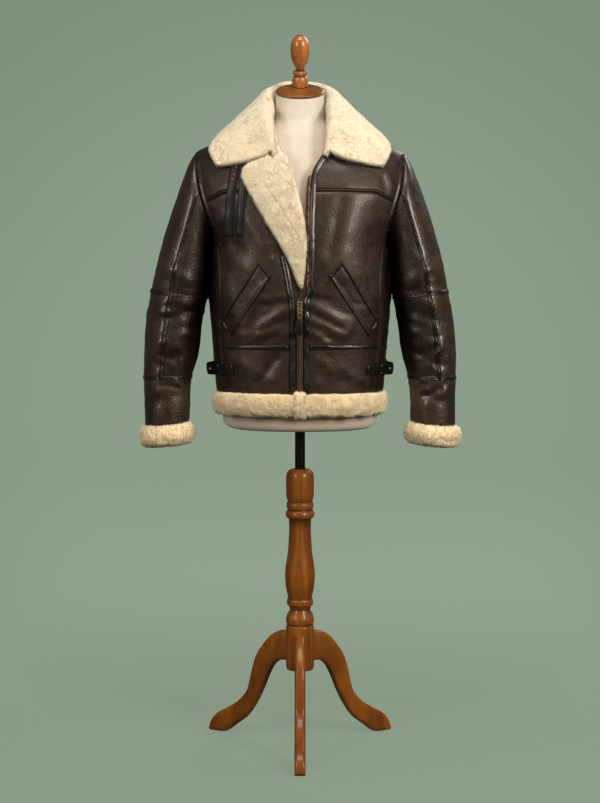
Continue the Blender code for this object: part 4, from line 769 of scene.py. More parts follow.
# The painted shade under the arm, by level: x of its middle, its half width, and how dark (depth).
UNDERARM = table(
    "z x width depth",
    (0.780, 0.236, 0.010, 0.0), (0.860, 0.228, 0.016, 0.6), (0.930, 0.214, 0.022, 0.9),
    (0.985, 0.200, 0.020, 1.0), (1.040, 0.193, 0.021, 1.0), (1.100, 0.191, 0.016, 1.0),
    (1.140, 0.196, 0.011, 0.8), (1.185, 0.201, 0.008, 0.0),
)


def soiled(points):
    """Painted shade under the arm, where sleeve and side lie close: how dark the leather there is painted."""
    z = points[..., 2]
    off = np.abs(points[..., 0]) - read(UNDERARM, "x", z)
    return read(UNDERARM, "depth", z) * bell(off, read(UNDERARM, "width", z), 4) * (z > 0.780) * (z < 1.185)


SEAM_ROLL, SEAM_REACH, SEAM_SHADE_REACH = 1.5 * MM, 3.2 * MM, 1.6 * MM
RUB_AT, RUB_WIDTH, RUB = 6.0 * MM, 4.5 * MM, 0.55


def leather_panel(name, sheet, skin, plain, look="body", raised=None, closed=False):
    """A cut panel: the creased skin rolled down into its seams, with painted shade along them and under the
    arm, and rubbed beside them.
    """
    points, normals, height = skin
    far = sheet.edge_distances(plain)
    seams = far[2:] if closed else far
    moved = -sum(SEAM_ROLL * bell(distance, SEAM_REACH) for distance in seams)
    # Painted shade along the seams.
    seam_shade = sum(bell(distance, SEAM_SHADE_REACH) for distance in seams).clip(0.0, 1.0)
    soil = np.maximum(soiled(points), 0.5 * seam_shade)
    if raised:
        relief = raised(far[2])
        # The raised seam's grooves get painted shade too.
        moved, soil = moved + relief, np.maximum(soil, (-relief / (1.2 * MM)).clip(0.0, 0.8))
    rub = np.maximum.reduce([RUB * bell(distance - RUB_AT, RUB_WIDTH) for distance in seams])
    wear = np.clip(height / (3.0 * MM), 0.0, 1.0) * 0.8 + rub
    made = sheet.make(name, points + normals * moved[..., None], normals, look, (wear, soil), closed)
    declare(made, plain)


YOKE_FOOT_Z = float(armhole_level(YOKE_TURN))
STEP = 5.0 * MM
WELT_WIDTH = 5.6 * MM
YOKE_FINE = np.array((0.8, 1.6, 2.4, 3.2, 4.0, 4.8, 5.6, 6.4, 7.4, 9.0)) * MM


def yoke_welt(foot):
    """The yoke's foot is folded over the chest: a ridge between two rows of stitching."""
    ridge = 1.7 * MM * bell(foot - WELT_WIDTH * 0.5, 1.7 * MM, 4)
    return ridge - 1.5 * MM * bell(foot - WELT_WIDTH, 1.1 * MM)


# The rows of panels of the fronts and the back, from the neck down: levels, length and finer grid lines
PANEL_ROWS = (
    (YOKE_FOOT_Z, NECKLINE_Z, 0.200, YOKE_FINE),
    (WAIST_Z, YOKE_FOOT_Z, 0.330, FINE),
    (HEM_Z, WAIST_Z, 0.100, FINE),
)


def seam_bend(turn, z):
    """The yoke's seam drops towards the armhole, and the pieces on both sides of it follow."""
    x = np.abs(body_base(turn, z)[..., 0])
    return 16.0 * MM * step_up(0.150, 0.200, x) * bell(z - YOKE_FOOT_Z, 0.036)


def front_panels(side, tag):
    for name, (low, high, long, fine) in zip(("front_yoke", "front_chest", "front_waist"), PANEL_ROWS):
        sheet = Sheet(shares(0.19, STEP), shares(long, STEP, fine))
        z = between(low, high, sheet.v)
        z = z - seam_bend(between(edge_turn(side, z), side_turn(z), sheet.u), z)
        turn = side * between(edge_turn(side, z), side_turn(z), sheet.u)
        body_panel(f"{name}_{tag}", sheet, turn, z, side, raised=yoke_welt if name == "front_yoke" else None)


def body_panel(name, sheet, turn, z, side=1, **more):
    """A panel of the body's skin, its grid turned over on the wearer's right."""
    if side < 0:
        turn, z = turn[:, ::-1], z[:, ::-1]
    leather_panel(name, sheet, body_skin(turn, z), body_base(turn, z), **more)


def back_panels():
    for name, (low, high, long, fine) in zip(("back_yoke", "back_body", "back_waist"), PANEL_ROWS):
        sheet = Sheet(shares(0.40, STEP * 1.15), shares(long, STEP, fine))
        z = between(low, high, sheet.v)
        edge = 180.0 - side_turn(z)
        welt = yoke_welt if name == "back_yoke" else None
        body_panel(name, sheet, between(edge, 360.0 - edge, sheet.u), z, raised=welt)


def side_panel(side, tag):
    sheet = Sheet(shares(0.14, STEP), shares(0.32, STEP))
    top_z = armhole_level(SIDE_SEAM_TURN)
    edge_z = between(HEM_Z, top_z, sheet.v)
    arm_turn, arm_z = armhole_spot(between(SIDE_SEAM_TURN, 360.0 - SIDE_SEAM_TURN, sheet.u))
    straight, straight_top = (between(side_turn(z), 180 - side_turn(z), sheet.u) for z in (edge_z, top_z))
    turn = side * (straight + sheet.v ** 2 * (arm_turn - straight_top))
    body_panel(f"side_panel_{tag}", sheet, turn, between(HEM_Z, arm_z, sheet.v), side, look="side")


def sleeve_panels(side, tag):
    outer, under, ring = (-SEAM_TURN, SEAM_TURN), (SEAM_TURN, 360.0 - SEAM_TURN), (0.0, 360.0)
    parts = (
        ("upper_outer", outer, 0.0, ELBOW, 0.30, "sleeve"),
        ("upper_under", under, 0.0, ELBOW, 0.20, "under"),
        ("lower_outer", outer, ELBOW, FOREARM, 0.18, "sleeve"),
        ("lower_under", under, ELBOW, FOREARM, 0.18, "under"),
        ("wrist", ring, FOREARM, WRIST, 0.10, "sleeve"),
    )
    for name, turns, first, last, long, look in parts:
        closed = turns == ring
        sheet = Sheet(shares(0.32, STEP, ()) if closed else shares(0.19, STEP), shares(long, STEP))
        turn, place = between(*turns, sheet.u)[:, ::-side], between(first, last, sheet.v)
        skin, plain = sleeve_skin(turn, place, side), sleeve_base(turn, place) * (side, 1, 1)
        leather_panel(f"sleeve_{name}_{tag}", sheet, skin, plain, look, closed=closed)


for SIDE_SIGN, SIDE_TAG in SIDES:
    front_panels(SIDE_SIGN, SIDE_TAG)
    side_panel(SIDE_SIGN, SIDE_TAG)
    sleeve_panels(SIDE_SIGN, SIDE_TAG)
back_panels()


# Thick pieces ----

def grid_normals(outer, inner):
    """The way out of each point of a grid, from the inner grid towards the outer one."""
    wide, high = np.gradient(outer, axis=1), np.gradient(outer, axis=0)
    normal = unit(np.cross(wide, high))
    facing = np.sign((normal * (outer - inner)).sum(-1, keepdims=True).mean())
    return normal * (facing if facing else 1.0)


def thick_mesh(outer, inner, closed=False, **values):
    """A closed mesh between two grids of points; the values are numbers carried by its outer points."""
    rows, columns = outer.shape[:2]
    bm = bmesh.new()
    layers = {key: bm.verts.layers.float.new(key) for key in values}
    bmesh.ops.create_grid(bm, x_segments=columns - 1, y_segments=rows - 1, size=0.5)
    bmesh.ops.solidify(bm, geom=bm.faces[:], thickness=1.0)
    if closed:
        ends = [f for f in bm.faces if all(abs(abs(v.co.x) - 0.5) < 1e-4 for v in f.verts)]
        bmesh.ops.delete(bm, geom=ends, context="FACES")
    low = min(v.co.z for v in bm.verts)
    for face in bm.faces:
        face.material_index = int(all(v.co.z - low < 0.5 for v in face.verts))
    for vertex in bm.verts:
        spot = grid_spot(vertex, rows, columns)
        outside = vertex.co.z - low > 0.5
        vertex.co = (outer if outside else inner)[spot]
        for key, layer in layers.items():
            vertex[layer] = values[key][spot] if outside else 0.0
    if closed:
        bmesh.ops.remove_doubles(bm, verts=bm.verts[:], dist=2 * WELD)
    bmesh.ops.recalc_face_normals(bm, faces=bm.faces[:])
    if bm.calc_volume(signed=True) < 0:
        bmesh.ops.reverse_faces(bm, faces=bm.faces[:])
    return mesh_of(bm)


BED_SHARE = 0.60


def strewn(name, template, places, ways, along, sizes, look, tips=None, soft=None):
    """Many copies of a small shape, joined: each stands on its place along its way. soft gives the way out
    of the bed below each copy, which the copy's own shading then leans towards."""
    verts, faces = template
    count = len(places)
    up = unit(np.broadcast_to(ways, places.shape))
    side = unit(np.cross(np.broadcast_to(along, places.shape), up))
    basis = np.stack([side, np.cross(up, side), up], axis=-1)
    sizes = np.broadcast_to(sizes, count)
    co = places[:, None, :] + np.einsum("nij,vj->nvi", basis, verts) * sizes[:, None, None]
    offsets = (np.arange(count) * len(verts))[:, None, None]
    loops = np.concatenate([(np.array(face) + offsets).reshape(count, -1) for face in faces], axis=1)
    lengths = np.array([len(face) for face in faces] * count)
    data = bpy.data.meshes.new(name)
    data.vertices.add(count * len(verts))
    data.vertices.foreach_set("co", (co + SHIFT).reshape(-1))
    data.loops.add(loops.size)
    data.loops.foreach_set("vertex_index", loops.reshape(-1))
    data.polygons.add(len(lengths))
    data.polygons.foreach_set("loop_start", np.cumsum(lengths) - lengths)
    data.update()
    if tips is not None:
        heights = verts[:, 2].clip(0.0) * tips[:, None]
        data.attributes.new("tip", "FLOAT", "POINT").data.foreach_set("value", heights.reshape(-1))
    data.validate()
    made = piece(name, data, look)
    if soft is not None:
        own = np.zeros(count * len(verts) * 3)
        data.vertices.foreach_get("normal", own)
        bed = np.repeat(soft, len(verts), axis=0)
        leant = unit(own.reshape(-1, 3) * (1.0 - BED_SHARE) + bed * BED_SHARE)
        data.normals_split_custom_set_from_vertices(leant)
    return made


def lock_shape():
    """A short tuft of wool: a three-sided point that leans as it rises."""
    turns = np.radians([0.0, 120.0, 240.0])
    verts = [(0.30 * math.cos(t), 0.30 * math.sin(t), 0.0) for t in turns] + [(0.04, 0.16, 1.0)]
    return np.array(verts), [(0, 1, 3), (1, 2, 3), (2, 0, 3)]


def stitch_shape():
    """One stitch lying along Y: a grain with its ends drawn down."""
    verts = []
    for y, width, top in ((-0.5, 0.10, 0.02), (-0.18, 0.17, 0.30), (0.18, 0.17, 0.30), (0.5, 0.10, 0.02)):
        verts += [(-width, y, -0.10), (0.0, y, top), (width, y, -0.10)]
    faces = []
    for ring in (0, 3, 6):
        faces += [(ring, ring + 1, ring + 4, ring + 3), (ring + 1, ring + 2, ring + 5, ring + 4)]
    return np.array(verts), faces


LOCK, STITCH = lock_shape(), stitch_shape()
BED_DROP = 2.0 * MM


def spots_on(data, count, seed, weigh):
    """Places strewn evenly over a mesh of quads, with the way out at each. The quads and their corners are
    put in order first, so that the same draws pick the same places each time."""
    co, outs = np.zeros((2, len(data.vertices), 3))
    data.vertices.foreach_get("co", co.reshape(-1))
    data.vertices.foreach_get("normal", outs.reshape(-1))
    co = co - SHIFT
    quads = np.zeros(len(data.loops), dtype=np.int32)
    data.loops.foreach_get("vertex_index", quads)
    quads = quads.reshape(-1, 4)
    rank = np.empty(len(co), dtype=int)
    rank[np.lexsort(co.round(7).T)] = np.arange(len(co))
    first = rank[quads].argmin(axis=1)[:, None]
    quads = np.take_along_axis(quads, (first + np.arange(4)) % 4, axis=1)
    quads = quads[np.lexsort(rank[quads].T)]
    corners = np.concatenate([quads[:, :3], quads[:, (0, 2, 3)]])
    a, b, c = (co[corners[:, i]] for i in range(3))
    across = np.cross(b - a, c - a)
    weight = np.linalg.norm(across, axis=-1)
    if weigh:
        weight = weight * weigh((a + b + c) / 3, unit(across))
    rng = np.random.default_rng(seed)
    picked = corners[rng.choice(len(weight), count, p=weight / weight.sum())]
    u, v = rng.random(count), rng.random(count)
    flip = u + v > 1
    u, v = np.where(flip, 1 - u, u), np.where(flip, 1 - v, v)
    parts = np.stack([1 - u - v, u, v], axis=-1)[..., None]
    return (co[picked] * parts).sum(1), unit((outs[picked] * parts).sum(1)), rng


def clumped(places, normals, rng, comb, wildness):
    """The way each lock leans: combed, gathered into clumps, and a little at random."""
    flow = [lumps(places, 0.011, 31 + i) + 0.5 * lumps(places, 0.0055, 41 + i) for i in range(3)]
    lean = normals + 0.34 * np.stack(flow, axis=-1) + wildness * rng.normal(size=places.shape) + comb
    inward = (lean * normals).sum(-1, keepdims=True)
    return unit(np.where(inward < 0.35, lean + normals * (0.35 - inward), lean))


def slopes(measure, points):
    """A measure of points, and how fast it grows along each axis."""
    here, step = measure(points), 0.5 * MM
    return here, np.stack([(measure(points + way) - here) / step for way in np.eye(3) * step], axis=-1)


def knobs(points, outs, size, seed):
    """Wool stands in knobs: how high each place is, from about -1 to 1, and which way it slopes."""
    here, slope = slopes(lambda at: lumps(at, size, seed) + 0.5 * lumps(at, size * 0.5, seed + 1), points)
    return here, slope - outs * (slope * outs).sum(-1, keepdims=True)


def fleece(name, outer, inner, count, seed, closed=False, look="wool", back="lining", comb=(0.0, 0.0, -0.3),
           length=4.4 * MM, groove=None, hidden=None, rests=("form_body",), curl=0.0):
    """A piece of sheepskin with its wool out: a lumpy bed, and locks standing all over it."""
    lumpy = (lumps(outer, 0.022, seed) + lumps(outer, 0.010, seed + 1)) * 0.8 * MM
    sunk = groove(outer) if groove else np.zeros(outer.shape[:2])
    bed = outer + grid_normals(outer, inner) * (lumpy - BED_DROP)[..., None]
    # The bed's tip value keeps it darker than the locks, darker still in the creases: painted shade.
    data = thick_mesh(bed, inner, closed, tip=0.75 - 0.6 * sunk)
    base = piece(name + "_bed", data, look, replaces=[name], back=back)
    places, outs, rng = spots_on(data, count, seed, hidden)
    curl = curl(places) if callable(curl) else np.full(count, curl)
    ways = clumped(places, outs, rng, comb, 0.15 + 0.10 * curl[:, None])
    high, slope = knobs(places, outs, 8.0 * MM, seed + 5)
    sizes = length * (1.0 + (0.10 + 0.10 * curl) * high) * rng.uniform(0.90, 1.10, count)
    # How light each lock's tip is painted: darker in the knobs' hollows and in the creases, as painted shade.
    fullness = 0.93 + (0.025 + 0.075 * curl) * high + rng.uniform(-0.03, 0.03, count)
    soft = unit(outs - slope * (0.8 + 1.7 * curl[:, None]) * MM)
    if groove:
        low = groove(places)
        sizes, fullness = sizes * (1 - 0.45 * low), fullness * (1 - low)
    tufts = strewn(name + "_wool", LOCK, places - outs * MM, ways, rng.normal(size=places.shape), sizes, look,
                   fullness.clip(0.0, 1.0), soft)
    declare(base, (outer + inner) / 2, rests_on=rests, with_pieces=[tufts])


def along_line(points, step):
    """Places an even step apart along a line, and the way that it runs there."""
    lengths = run_along(points)
    count = max(int(lengths[-1] / step), 2)
    at = (np.arange(count) + 0.5) * lengths[-1] / count
    placed = np.stack([np.interp(at, lengths, points[:, i]) for i in range(3)], axis=-1)
    return placed, unit(np.gradient(placed, axis=0))


STITCH_PITCH, STITCH_LONG = 3.4 * MM, 2.6 * MM
SEWN = []


def sew(points, normals):
    """Note a row of stitches; they are all made together at the end."""
    placed, run = along_line(points, STITCH_PITCH)
    share, at = np.linspace(0, 1, len(points)), np.linspace(0, 1, len(placed))
    ups = np.stack([np.interp(at, share, normals[:, i]) for i in range(3)], axis=-1)
    SEWN.append((placed, unit(ups), run))


def make_stitches():
    places, ups, runs = (np.concatenate([row[i] for row in SEWN]) for i in range(3))
    strewn("stitching", STITCH, places, ups, runs, STITCH_LONG, "black_thread")


# Hem and cuffs ----

HEM_FUR_Z = 0.731


def hem_piece(name, turns, count, seed, columns=60, rise=0.0, length=4.4 * MM):
    """Wool turned out below the hem seam; turns gives the edge turns at a level."""
    us, vs = np.meshgrid(np.linspace(0, 1, columns), np.linspace(0, 1, 15))
    z = between(HEM_FUR_Z - 0.4 * rise, HEM_Z + rise, vs)
    turn = between(*turns(z), us)
    lobes = 1.0 + 0.22 * lumps(body_base(turn, z), (0.016, 0.016, 0.030), 77)
    full = swell(vs, 0.55)
    outer = body_skin(turn, z, 3.0 * MM + 8.0 * MM * full * lobes)[0]
    inner = body_skin(turn, z, -5.0 * MM + 3.5 * MM * full)[0]
    outer[..., 2] += (1.0 - step_up(0.0, 0.25, vs)) * 2.5 * MM * lumps(outer, 0.012, 78)
    fleece(name, outer, inner, count, seed, look="gold_wool", curl=hem_curl, length=length,
           hidden=lambda at, out: np.where(beyond_body(at, -1.0 * MM) < 0.0, 0.15, 1.0))


def hem_curl(at):
    """The hem's wool is tightest beside the slide fastener and along its lower edge."""
    middle = bell(at[:, 0], 0.040) * (at[:, 1] < 0)
    low = step_up(0.745, 0.735, at[:, 2])
    return 0.12 + 0.80 * np.maximum(middle, 0.8 * low)


def beyond_body(points, margin=0.0):
    """Below 0 inside the body's smooth skin grown by the margin, and above 0 outside it."""
    x, y, z = np.abs(points[..., 0]), points[..., 1], np.clip(points[..., 2], 0.70, NECKLINE_Z)
    depth = np.where(y < 0, read(BODY, "front", z), read(BODY, "back", z)) + margin
    power = read(BODY, "power", z)
    return (x / (read(BODY, "half_width", z) + margin)) ** power + (np.abs(y) / depth) ** power - 1.0


def hem_furs():
    edge = side_turn(np.array(HEM_Z))
    for side, tag in SIDES:
        hem_piece(f"hem_fur_front_{tag}", lambda z, s=side: (s * body_turn(0.0098, z), s * edge), 13000,
                  100 + side)
    hem_piece("hem_fur_back", lambda z: (edge, 360.0 - edge), 18500, 104)
    hem_piece("zip_fur_tab", lambda z: (body_turn(-0.0094, z), body_turn(0.0094, z)), 3200, 106, columns=8,
              rise=3.5 * MM, length=7.0 * MM)


def cuff_furs():
    us, vs = np.meshgrid(np.linspace(0, 360, 73), np.linspace(0, 1, 13))
    places, full = between(WRIST, WRIST + 0.94, vs), swell(vs, 0.55)
    for side, tag in SIDES:
        lobes = 1.0 + 0.22 * lumps(sleeve_base(us, places), 0.018, 88 + side)
        outer = sleeve_skin(us, places, side, 3.0 * MM + 10.0 * MM * full * lobes)[0]
        inner = sleeve_skin(us, places, side, -6.0 * MM + 3.5 * MM * full)[0]
        fleece(f"cuff_fur_{tag}", outer, inner, 12500, 110 + side, closed=True, look="gold_wool", curl=0.75,
               rests=[f"sleeve_wrist_{tag}"])


# Collar and lapel ----

COLLAR = table(
    "place base_x base_y base_z top_x top_y top_z edge_x edge_y edge_z bow roll",
    (0, 0.000, 0.066, 1.354, 0.0000, 0.0620, 1.422, 0.000, 0.146, 1.290, 0.004, 0.012),
    (1, 0.028, 0.060, 1.354, 0.0240, 0.0575, 1.422, 0.060, 0.144, 1.292, 0.004, 0.012),
    (2, 0.053, 0.040, 1.354, 0.0470, 0.0400, 1.412, 0.114, 0.117, 1.299, 0.003, 0.012),
    (3, 0.068, 0.008, 1.3595, 0.0605, 0.0080, 1.396, 0.155, 0.050, 1.320, 0.003, 0.012),
    (4, 0.070, -0.034, 1.3595, 0.0605, -0.0340, 1.368, 0.171, -0.050, 1.312, 0.003, 0.011),
    (5, 0.064, -0.094, 1.322, 0.0600, -0.0950, 1.330, 0.187, -0.084, 1.283, 0.000, 0.009),
    (6, 0.056, -0.121, 1.266, 0.0545, -0.1215, 1.271, 0.172, -0.104, 1.2505, -0.009, 0.006),
)
COLLAR_WALL, COLLAR_REST, LAPEL_WALL = 14.0 * MM, 1.8 * MM, 10.0 * MM
# Creases pressed into the collar's and the lapel's wool: two ends (x, z) seen from the front, and a width
WOOL_CREASES = (
    (-0.150, 1.293, -0.138, 1.322, 0.0016), (-0.128, 1.2935, -0.098, 1.2935, 0.0015),
    (-0.112, 1.262, -0.104, 1.296, 0.0012), (0.128, 1.318, 0.150, 1.288, 0.0013),
    (-0.078, 1.217, -0.061, 1.193, 0.0012), (-0.061, 1.193, -0.0405, 1.165, 0.0016),
    (-0.0405, 1.165, 0.000, 1.096, 0.0016),
)


def wool_groove(points):
    """How deep each point lies in a crease of the wool, from 0 to 1."""
    total = np.zeros(points.shape[:-1])
    for *ends, width in WOOL_CREASES:
        part, distance = off_line(points[..., ::2], *ends)
        total = np.maximum(total, bell(distance, width) * swell(0.15 + 0.7 * part, 0.5))
    return total * (points[..., 1] < -0.02)


def clear_of_body(points, need):
    """The points, moved out of the body's smooth skin until they keep this distance from it."""
    wanted = need - np.maximum(points[..., 2] - NECKLINE_Z, 0.0)
    for _ in range(4):
        value, slope = slopes(beyond_body, points)
        steep = np.linalg.norm(slope, axis=-1)
        lack = np.where(wanted > 0, np.maximum(wanted - value / steep, 0.0), 0.0)
        points = points + slope / steep[..., None] * lack[..., None]
    return points


def collar_section(place, station):
    """The collar's middle line: stations 0 to 2 rise up the stand, 2 to 5 turn over, 5 to 10 run down."""
    def spot(name):
        return points_of(*(read(COLLAR, f"{name}_{axis}", place) for axis in "xyz"))

    base, top, edge = spot("base"), spot("top"), spot("edge")
    rolling, bow = (read(COLLAR, name, place)[..., None] for name in ("roll", "bow"))
    out_way, up_way = unit((edge - top) * (1.0, 1.0, 0.0)), np.array((0.0, 0.0, 1.0))

    def rolled(angle):
        angle = np.radians(angle)[..., None]
        return top + out_way * rolling + (out_way * np.cos(angle) + up_way * np.sin(angle)) * rolling

    station = station[..., None]
    stand = base + (top - base) * np.clip(station, 0, 2) / 2
    roll = rolled(np.interp(station[..., 0], (2, 3, 4, 5), (180.0, 135.0, 95.0, 60.0)))
    t = np.clip((station - 5) / 5, 0, 1)
    start = rolled(np.array(60.0))
    leaf = start + (edge - start) * t + unit(up_way + out_way * 0.6) * bow * swell(t, 0.8)
    middle = np.where(station < 2, stand, np.where(station < 5, roll, leaf))
    return clear_of_body(middle, COLLAR_WALL / 2 + COLLAR_REST)


def collars():
    stations = np.concatenate([np.linspace(0, 2, 8)[:-1], np.linspace(2, 5, 10)[:-1], np.linspace(5, 10, 22)])
    place, station = np.meshgrid(np.linspace(0, 6, 61), stations)
    middle = collar_section(place, station)
    normal = unit(np.cross(np.gradient(middle, axis=1), np.gradient(middle, axis=0)))
    normal = normal * np.sign((normal[-3] * (0.2, 0.2, 1.0)).sum(-1).mean())
    normal[:, 0] = unit(normal[:, 0] * (0.0, 1.0, 1.0))
    v = station / 10
    fullness = swell(np.where(v < 0.5, 0.5 * v + 0.25, 0.5 + 0.8 * (v - 0.5)), 0.7)
    half = (COLLAR_WALL / 2 * (0.62 + 0.38 * fullness))[..., None]
    for side, tag in SIDES:
        outer, inner = ((middle + normal * way) * (side, 1.0, 1.0) for way in (half, -half))
        fleece(f"collar_{tag}", outer, inner, 37000, 120 + side, groove=wool_groove, back="body",
               comb=(0.06 * side, -0.05, -0.22), hidden=under_collar)


def under_collar(at, out):
    """Few locks where the collar lies on the yoke."""
    return np.where((out[..., 2] < -0.35) & (at[..., 2] > 1.27), 0.05, 1.0)


LAPEL = table(
    "fold_z edge_x edge_z",
    (0.999, 0.0020, 0.995), (1.026, -0.0085, 1.018), (1.052, -0.0210, 1.050), (1.082, -0.0365, 1.081),
    (1.117, -0.0560, 1.113), (1.149, -0.0760, 1.146), (1.182, -0.0955, 1.181), (1.214, -0.1165, 1.2185),
    (1.230, -0.1165, 1.234), (1.246, -0.1120, 1.2450), (1.260, -0.0980, 1.2560), (1.274, -0.0800, 1.2680),
    (1.296, -0.0720, 1.288), (1.318, -0.0745, 1.312), (1.336, -0.0790, 1.332),
)


def lapel():
    us, vs = np.meshgrid(np.linspace(0, 1, 28), np.linspace(0, 1, 80))
    numbered = dict(LAPEL, key=np.linspace(0, 1, len(LAPEL["key"])))
    fold_z = read(numbered, "fold_z", vs)
    x = between(read(FOLD_EDGE, "x", fold_z) + 1.2 * MM, read(numbered, "edge_x", vs), us)
    z = between(fold_z, read(numbered, "edge_z", vs), us)
    rise = (1.0 - us) ** 2 * 4.0 * MM * np.minimum(vs * 4.0, 1.0)
    full = LAPEL_WALL * (1.0 - 0.45 * step_up(1.258, 1.290, fold_z)) - 2.5 * MM * (us ** 6 + (1 - us) ** 6)
    outer, inner = front_skin(x, z, 0.9 * MM + rise + full)[0], front_skin(x, z, 0.5 * MM + rise * 0.5)[0]
    fleece("front_lapel_r", outer, inner, 23000, 130, groove=wool_groove, back="body",
           comb=(-0.12, 0.0, -0.25), rests=["front_chest_r", "front_yoke_r"])


# Tapes, bindings and straps ----

def rounded_over(u, power):
    """The height of a strip across its width: full along its middle, round down to its edges."""
    return np.maximum(1.0 - np.abs(2.0 * u - 1.0) ** power, 0.0) ** 0.5


ACROSS = np.array((0.0, 0.03, 0.10, 0.19, 0.28, 0.39, 0.5, 0.61, 0.72, 0.81, 0.90, 0.97, 1.0))


def tape(name, surface, length, wall, look="tape", lift=0.1 * MM, step=4.0 * MM, sewn=0.10, wear=0.5,
         replaces=None, power=2.3, beads=(), facet=0.0, **more):
    """A strip of leather over a seam: surface(u, v, lift) gives its points and normals. Each bead is a
    ridge along it: its place across, its height and its half width as a share of the strip's. A facet
    is a folded edge as high as this, that falls away evenly over the strip's second half."""
    lengthwise = np.linspace(0, 1, max(int(length / step), 4) + 1)
    us, vs = np.meshgrid(ACROSS, lengthwise)
    folded = step_up(0.0, 0.4, us) * (1.0 - ((us - 0.5) / 0.42).clip(0.0, 1.0))
    height = wall * rounded_over(us, power) + facet * folded
    for middle, rise, spread in beads:
        height = height + rise * bell(us - middle, spread)
    ripple = 1.0 + 0.12 * lumps(np.stack([us, vs * length / 0.016, us * 0], axis=-1), 1.0, 51)
    outer, inner = surface(us, vs, lift + height * ripple)[0], surface(us, vs, lift - 0.4 * MM)[0]
    # Lighter along its middle: wear, and a painted highlight line.
    rub = wear * bell(us - 0.5, 0.25, 4) * (0.35 + 0.5 * step_up(0.0, 0.9, lumps(outer, 0.012, 52)))
    # Painted shade along both edges and under the arm.
    soil = np.maximum(soiled(outer), 0.8 * np.abs(2.0 * us - 1.0) ** 6)
    data = thick_mesh(outer, inner, wear=rub, soil=soil)
    made = piece(name + "_strip", data, look, replaces=replaces or [name])
    declare(made, (outer + inner) / 2, **more)
    for u in (sewn, 1.0 - sewn) if sewn else ():
        sew(*surface(np.full_like(lengthwise, u), lengthwise, lift + wall * rounded_over(u, power)))


def path_surface(xs, zs, half):
    """The surface of a strip along a path of (x, z) points on the front."""
    rows = {"key": np.linspace(0.0, 1.0, len(xs)), "x": np.asarray(xs), "z": np.asarray(zs)}

    def surface(u, v, lift):
        (x, near_x, far_x), (z, near_z, far_z) = ([read(rows, axis, at) for at in (v, v - 0.01, v + 0.01)]
                                                  for axis in "xz")
        run_x, run_z = far_x - near_x, far_z - near_z
        aside = between(-half, half, u) / np.hypot(run_x, run_z)
        return front_skin(x + aside * run_z, z - aside * run_x, lift)[:2]

    return surface


def turn_surface(turns, z, half):
    """The surface of a level strip of the body's skin between two turns."""
    return lambda u, v, lift: body_skin(between(*turns, v), z + between(-half, half, u), lift)[:2]


def waist_tapes():
    half, wall = 5.5 * MM, 3.2 * MM
    last = body_turn(read(SIDE_SEAM, "x", WAIST_Z) - 6.0 * MM, WAIST_Z)
    for (side, tag), start in zip(SIDES, (0.0195, 0.0238)):
        turns = side * body_turn(start, WAIST_Z), side * last
        tape(f"waist_tape_{tag}", turn_surface(turns, WAIST_Z, half), 0.16, wall, sewn=0.08)
    edge = side_turn(np.array(WAIST_Z))
    tape("waist_tape_back", turn_surface((180.0 - edge, 180.0 + edge), WAIST_Z, half), 0.42, wall, sewn=0.08)


def side_seam_tapes():
    levels = np.linspace(0.790, 1.080, 24)
    for side, tag in SIDES:
        line = path_surface(side * read(SIDE_SEAM, "x", levels), levels, 4.5 * MM)
        tape(f"side_seam_tape_{tag}", line, 0.29, 1.6 * MM, look="dull_tape", beads=((0.5, 1.4 * MM, 0.16),))


def sleeve_tapes(side, tag):
    def seam(u, v, lift):
        place = between(0.45, FOREARM + 0.05, v)
        here, beside = sleeve_base(SEAM_TURN, place), sleeve_base(SEAM_TURN + 2.0, place)
        spread = 10.0 * MM / np.linalg.norm(beside - here, axis=-1)
        return sleeve_skin(SEAM_TURN + spread * (2 * u - 1), place, side, lift)[:2]

    over = [f"sleeve_tapes_{tag}"]
    tape(f"sleeve_front_tape_{tag}", seam, 0.48, 1.4 * MM, lift=0.6 * MM, replaces=over,
         beads=((0.5, 1.7 * MM, 0.17),))
    for name, middle, spread in (("elbow", ELBOW, 0.10), ("forearm", FOREARM, 0.11)):
        def ring(u, v, lift, middle=middle, spread=spread):
            return sleeve_skin(360.0 * v, middle + spread * (2 * u - 1), side, lift)[:2]

        tape(f"{name}_ring_tape_{tag}", ring, 0.36, 1.6 * MM, lift=-0.4 * MM, replaces=over,
             beads=((0.74, 1.0 * MM, 0.12), (0.30, 0.7 * MM, 0.10)), power=4.0)


def armhole_tape(side, tag):
    def surface(u, v, lift):
        turn, z = armhole_spot(between(20.0, 120.0, v))
        x = body_base(turn, z)[..., 0] - 1.0 * MM - 8.0 * MM * u
        return body_skin(side * body_turn(x, z), z, lift)[:2]

    tape(f"armhole_tape_{tag}", surface, 0.20, 1.4 * MM, beads=((0.45, 1.6 * MM, 0.17),))


def bindings():
    """Glossy leather folded over the two front edges, with a stitched ridge along its inner side."""
    levels = np.concatenate([np.linspace(HEM_Z, 1.20, 60), np.linspace(1.205, 1.268, 14)])
    left = read(FREE_EDGE, "x", levels) + between(6.5 * MM, 5.0 * MM, step_up(1.19, 1.26, levels))
    tape("front_binding_l", path_surface(left, levels, 6.4 * MM), 0.50, 1.2 * MM, look="binding", sewn=0.30,
         wear=0.4, facet=1.9 * MM, power=6.0)
    levels = np.linspace(HEM_Z, 1.064, 60)
    right = np.interp(levels, (0.955, 0.984, 1.024, 1.064), (-0.0151, -0.0185, -0.0262, -0.0345))
    tape("front_binding_r", path_surface(right, levels, 6.6 * MM), 0.29, 2.2 * MM, look="binding", sewn=0.34,
         wear=0.2, beads=((0.17, 2.0 * MM, 0.11), (0.60, 1.6 * MM, 0.14)), power=4.0)


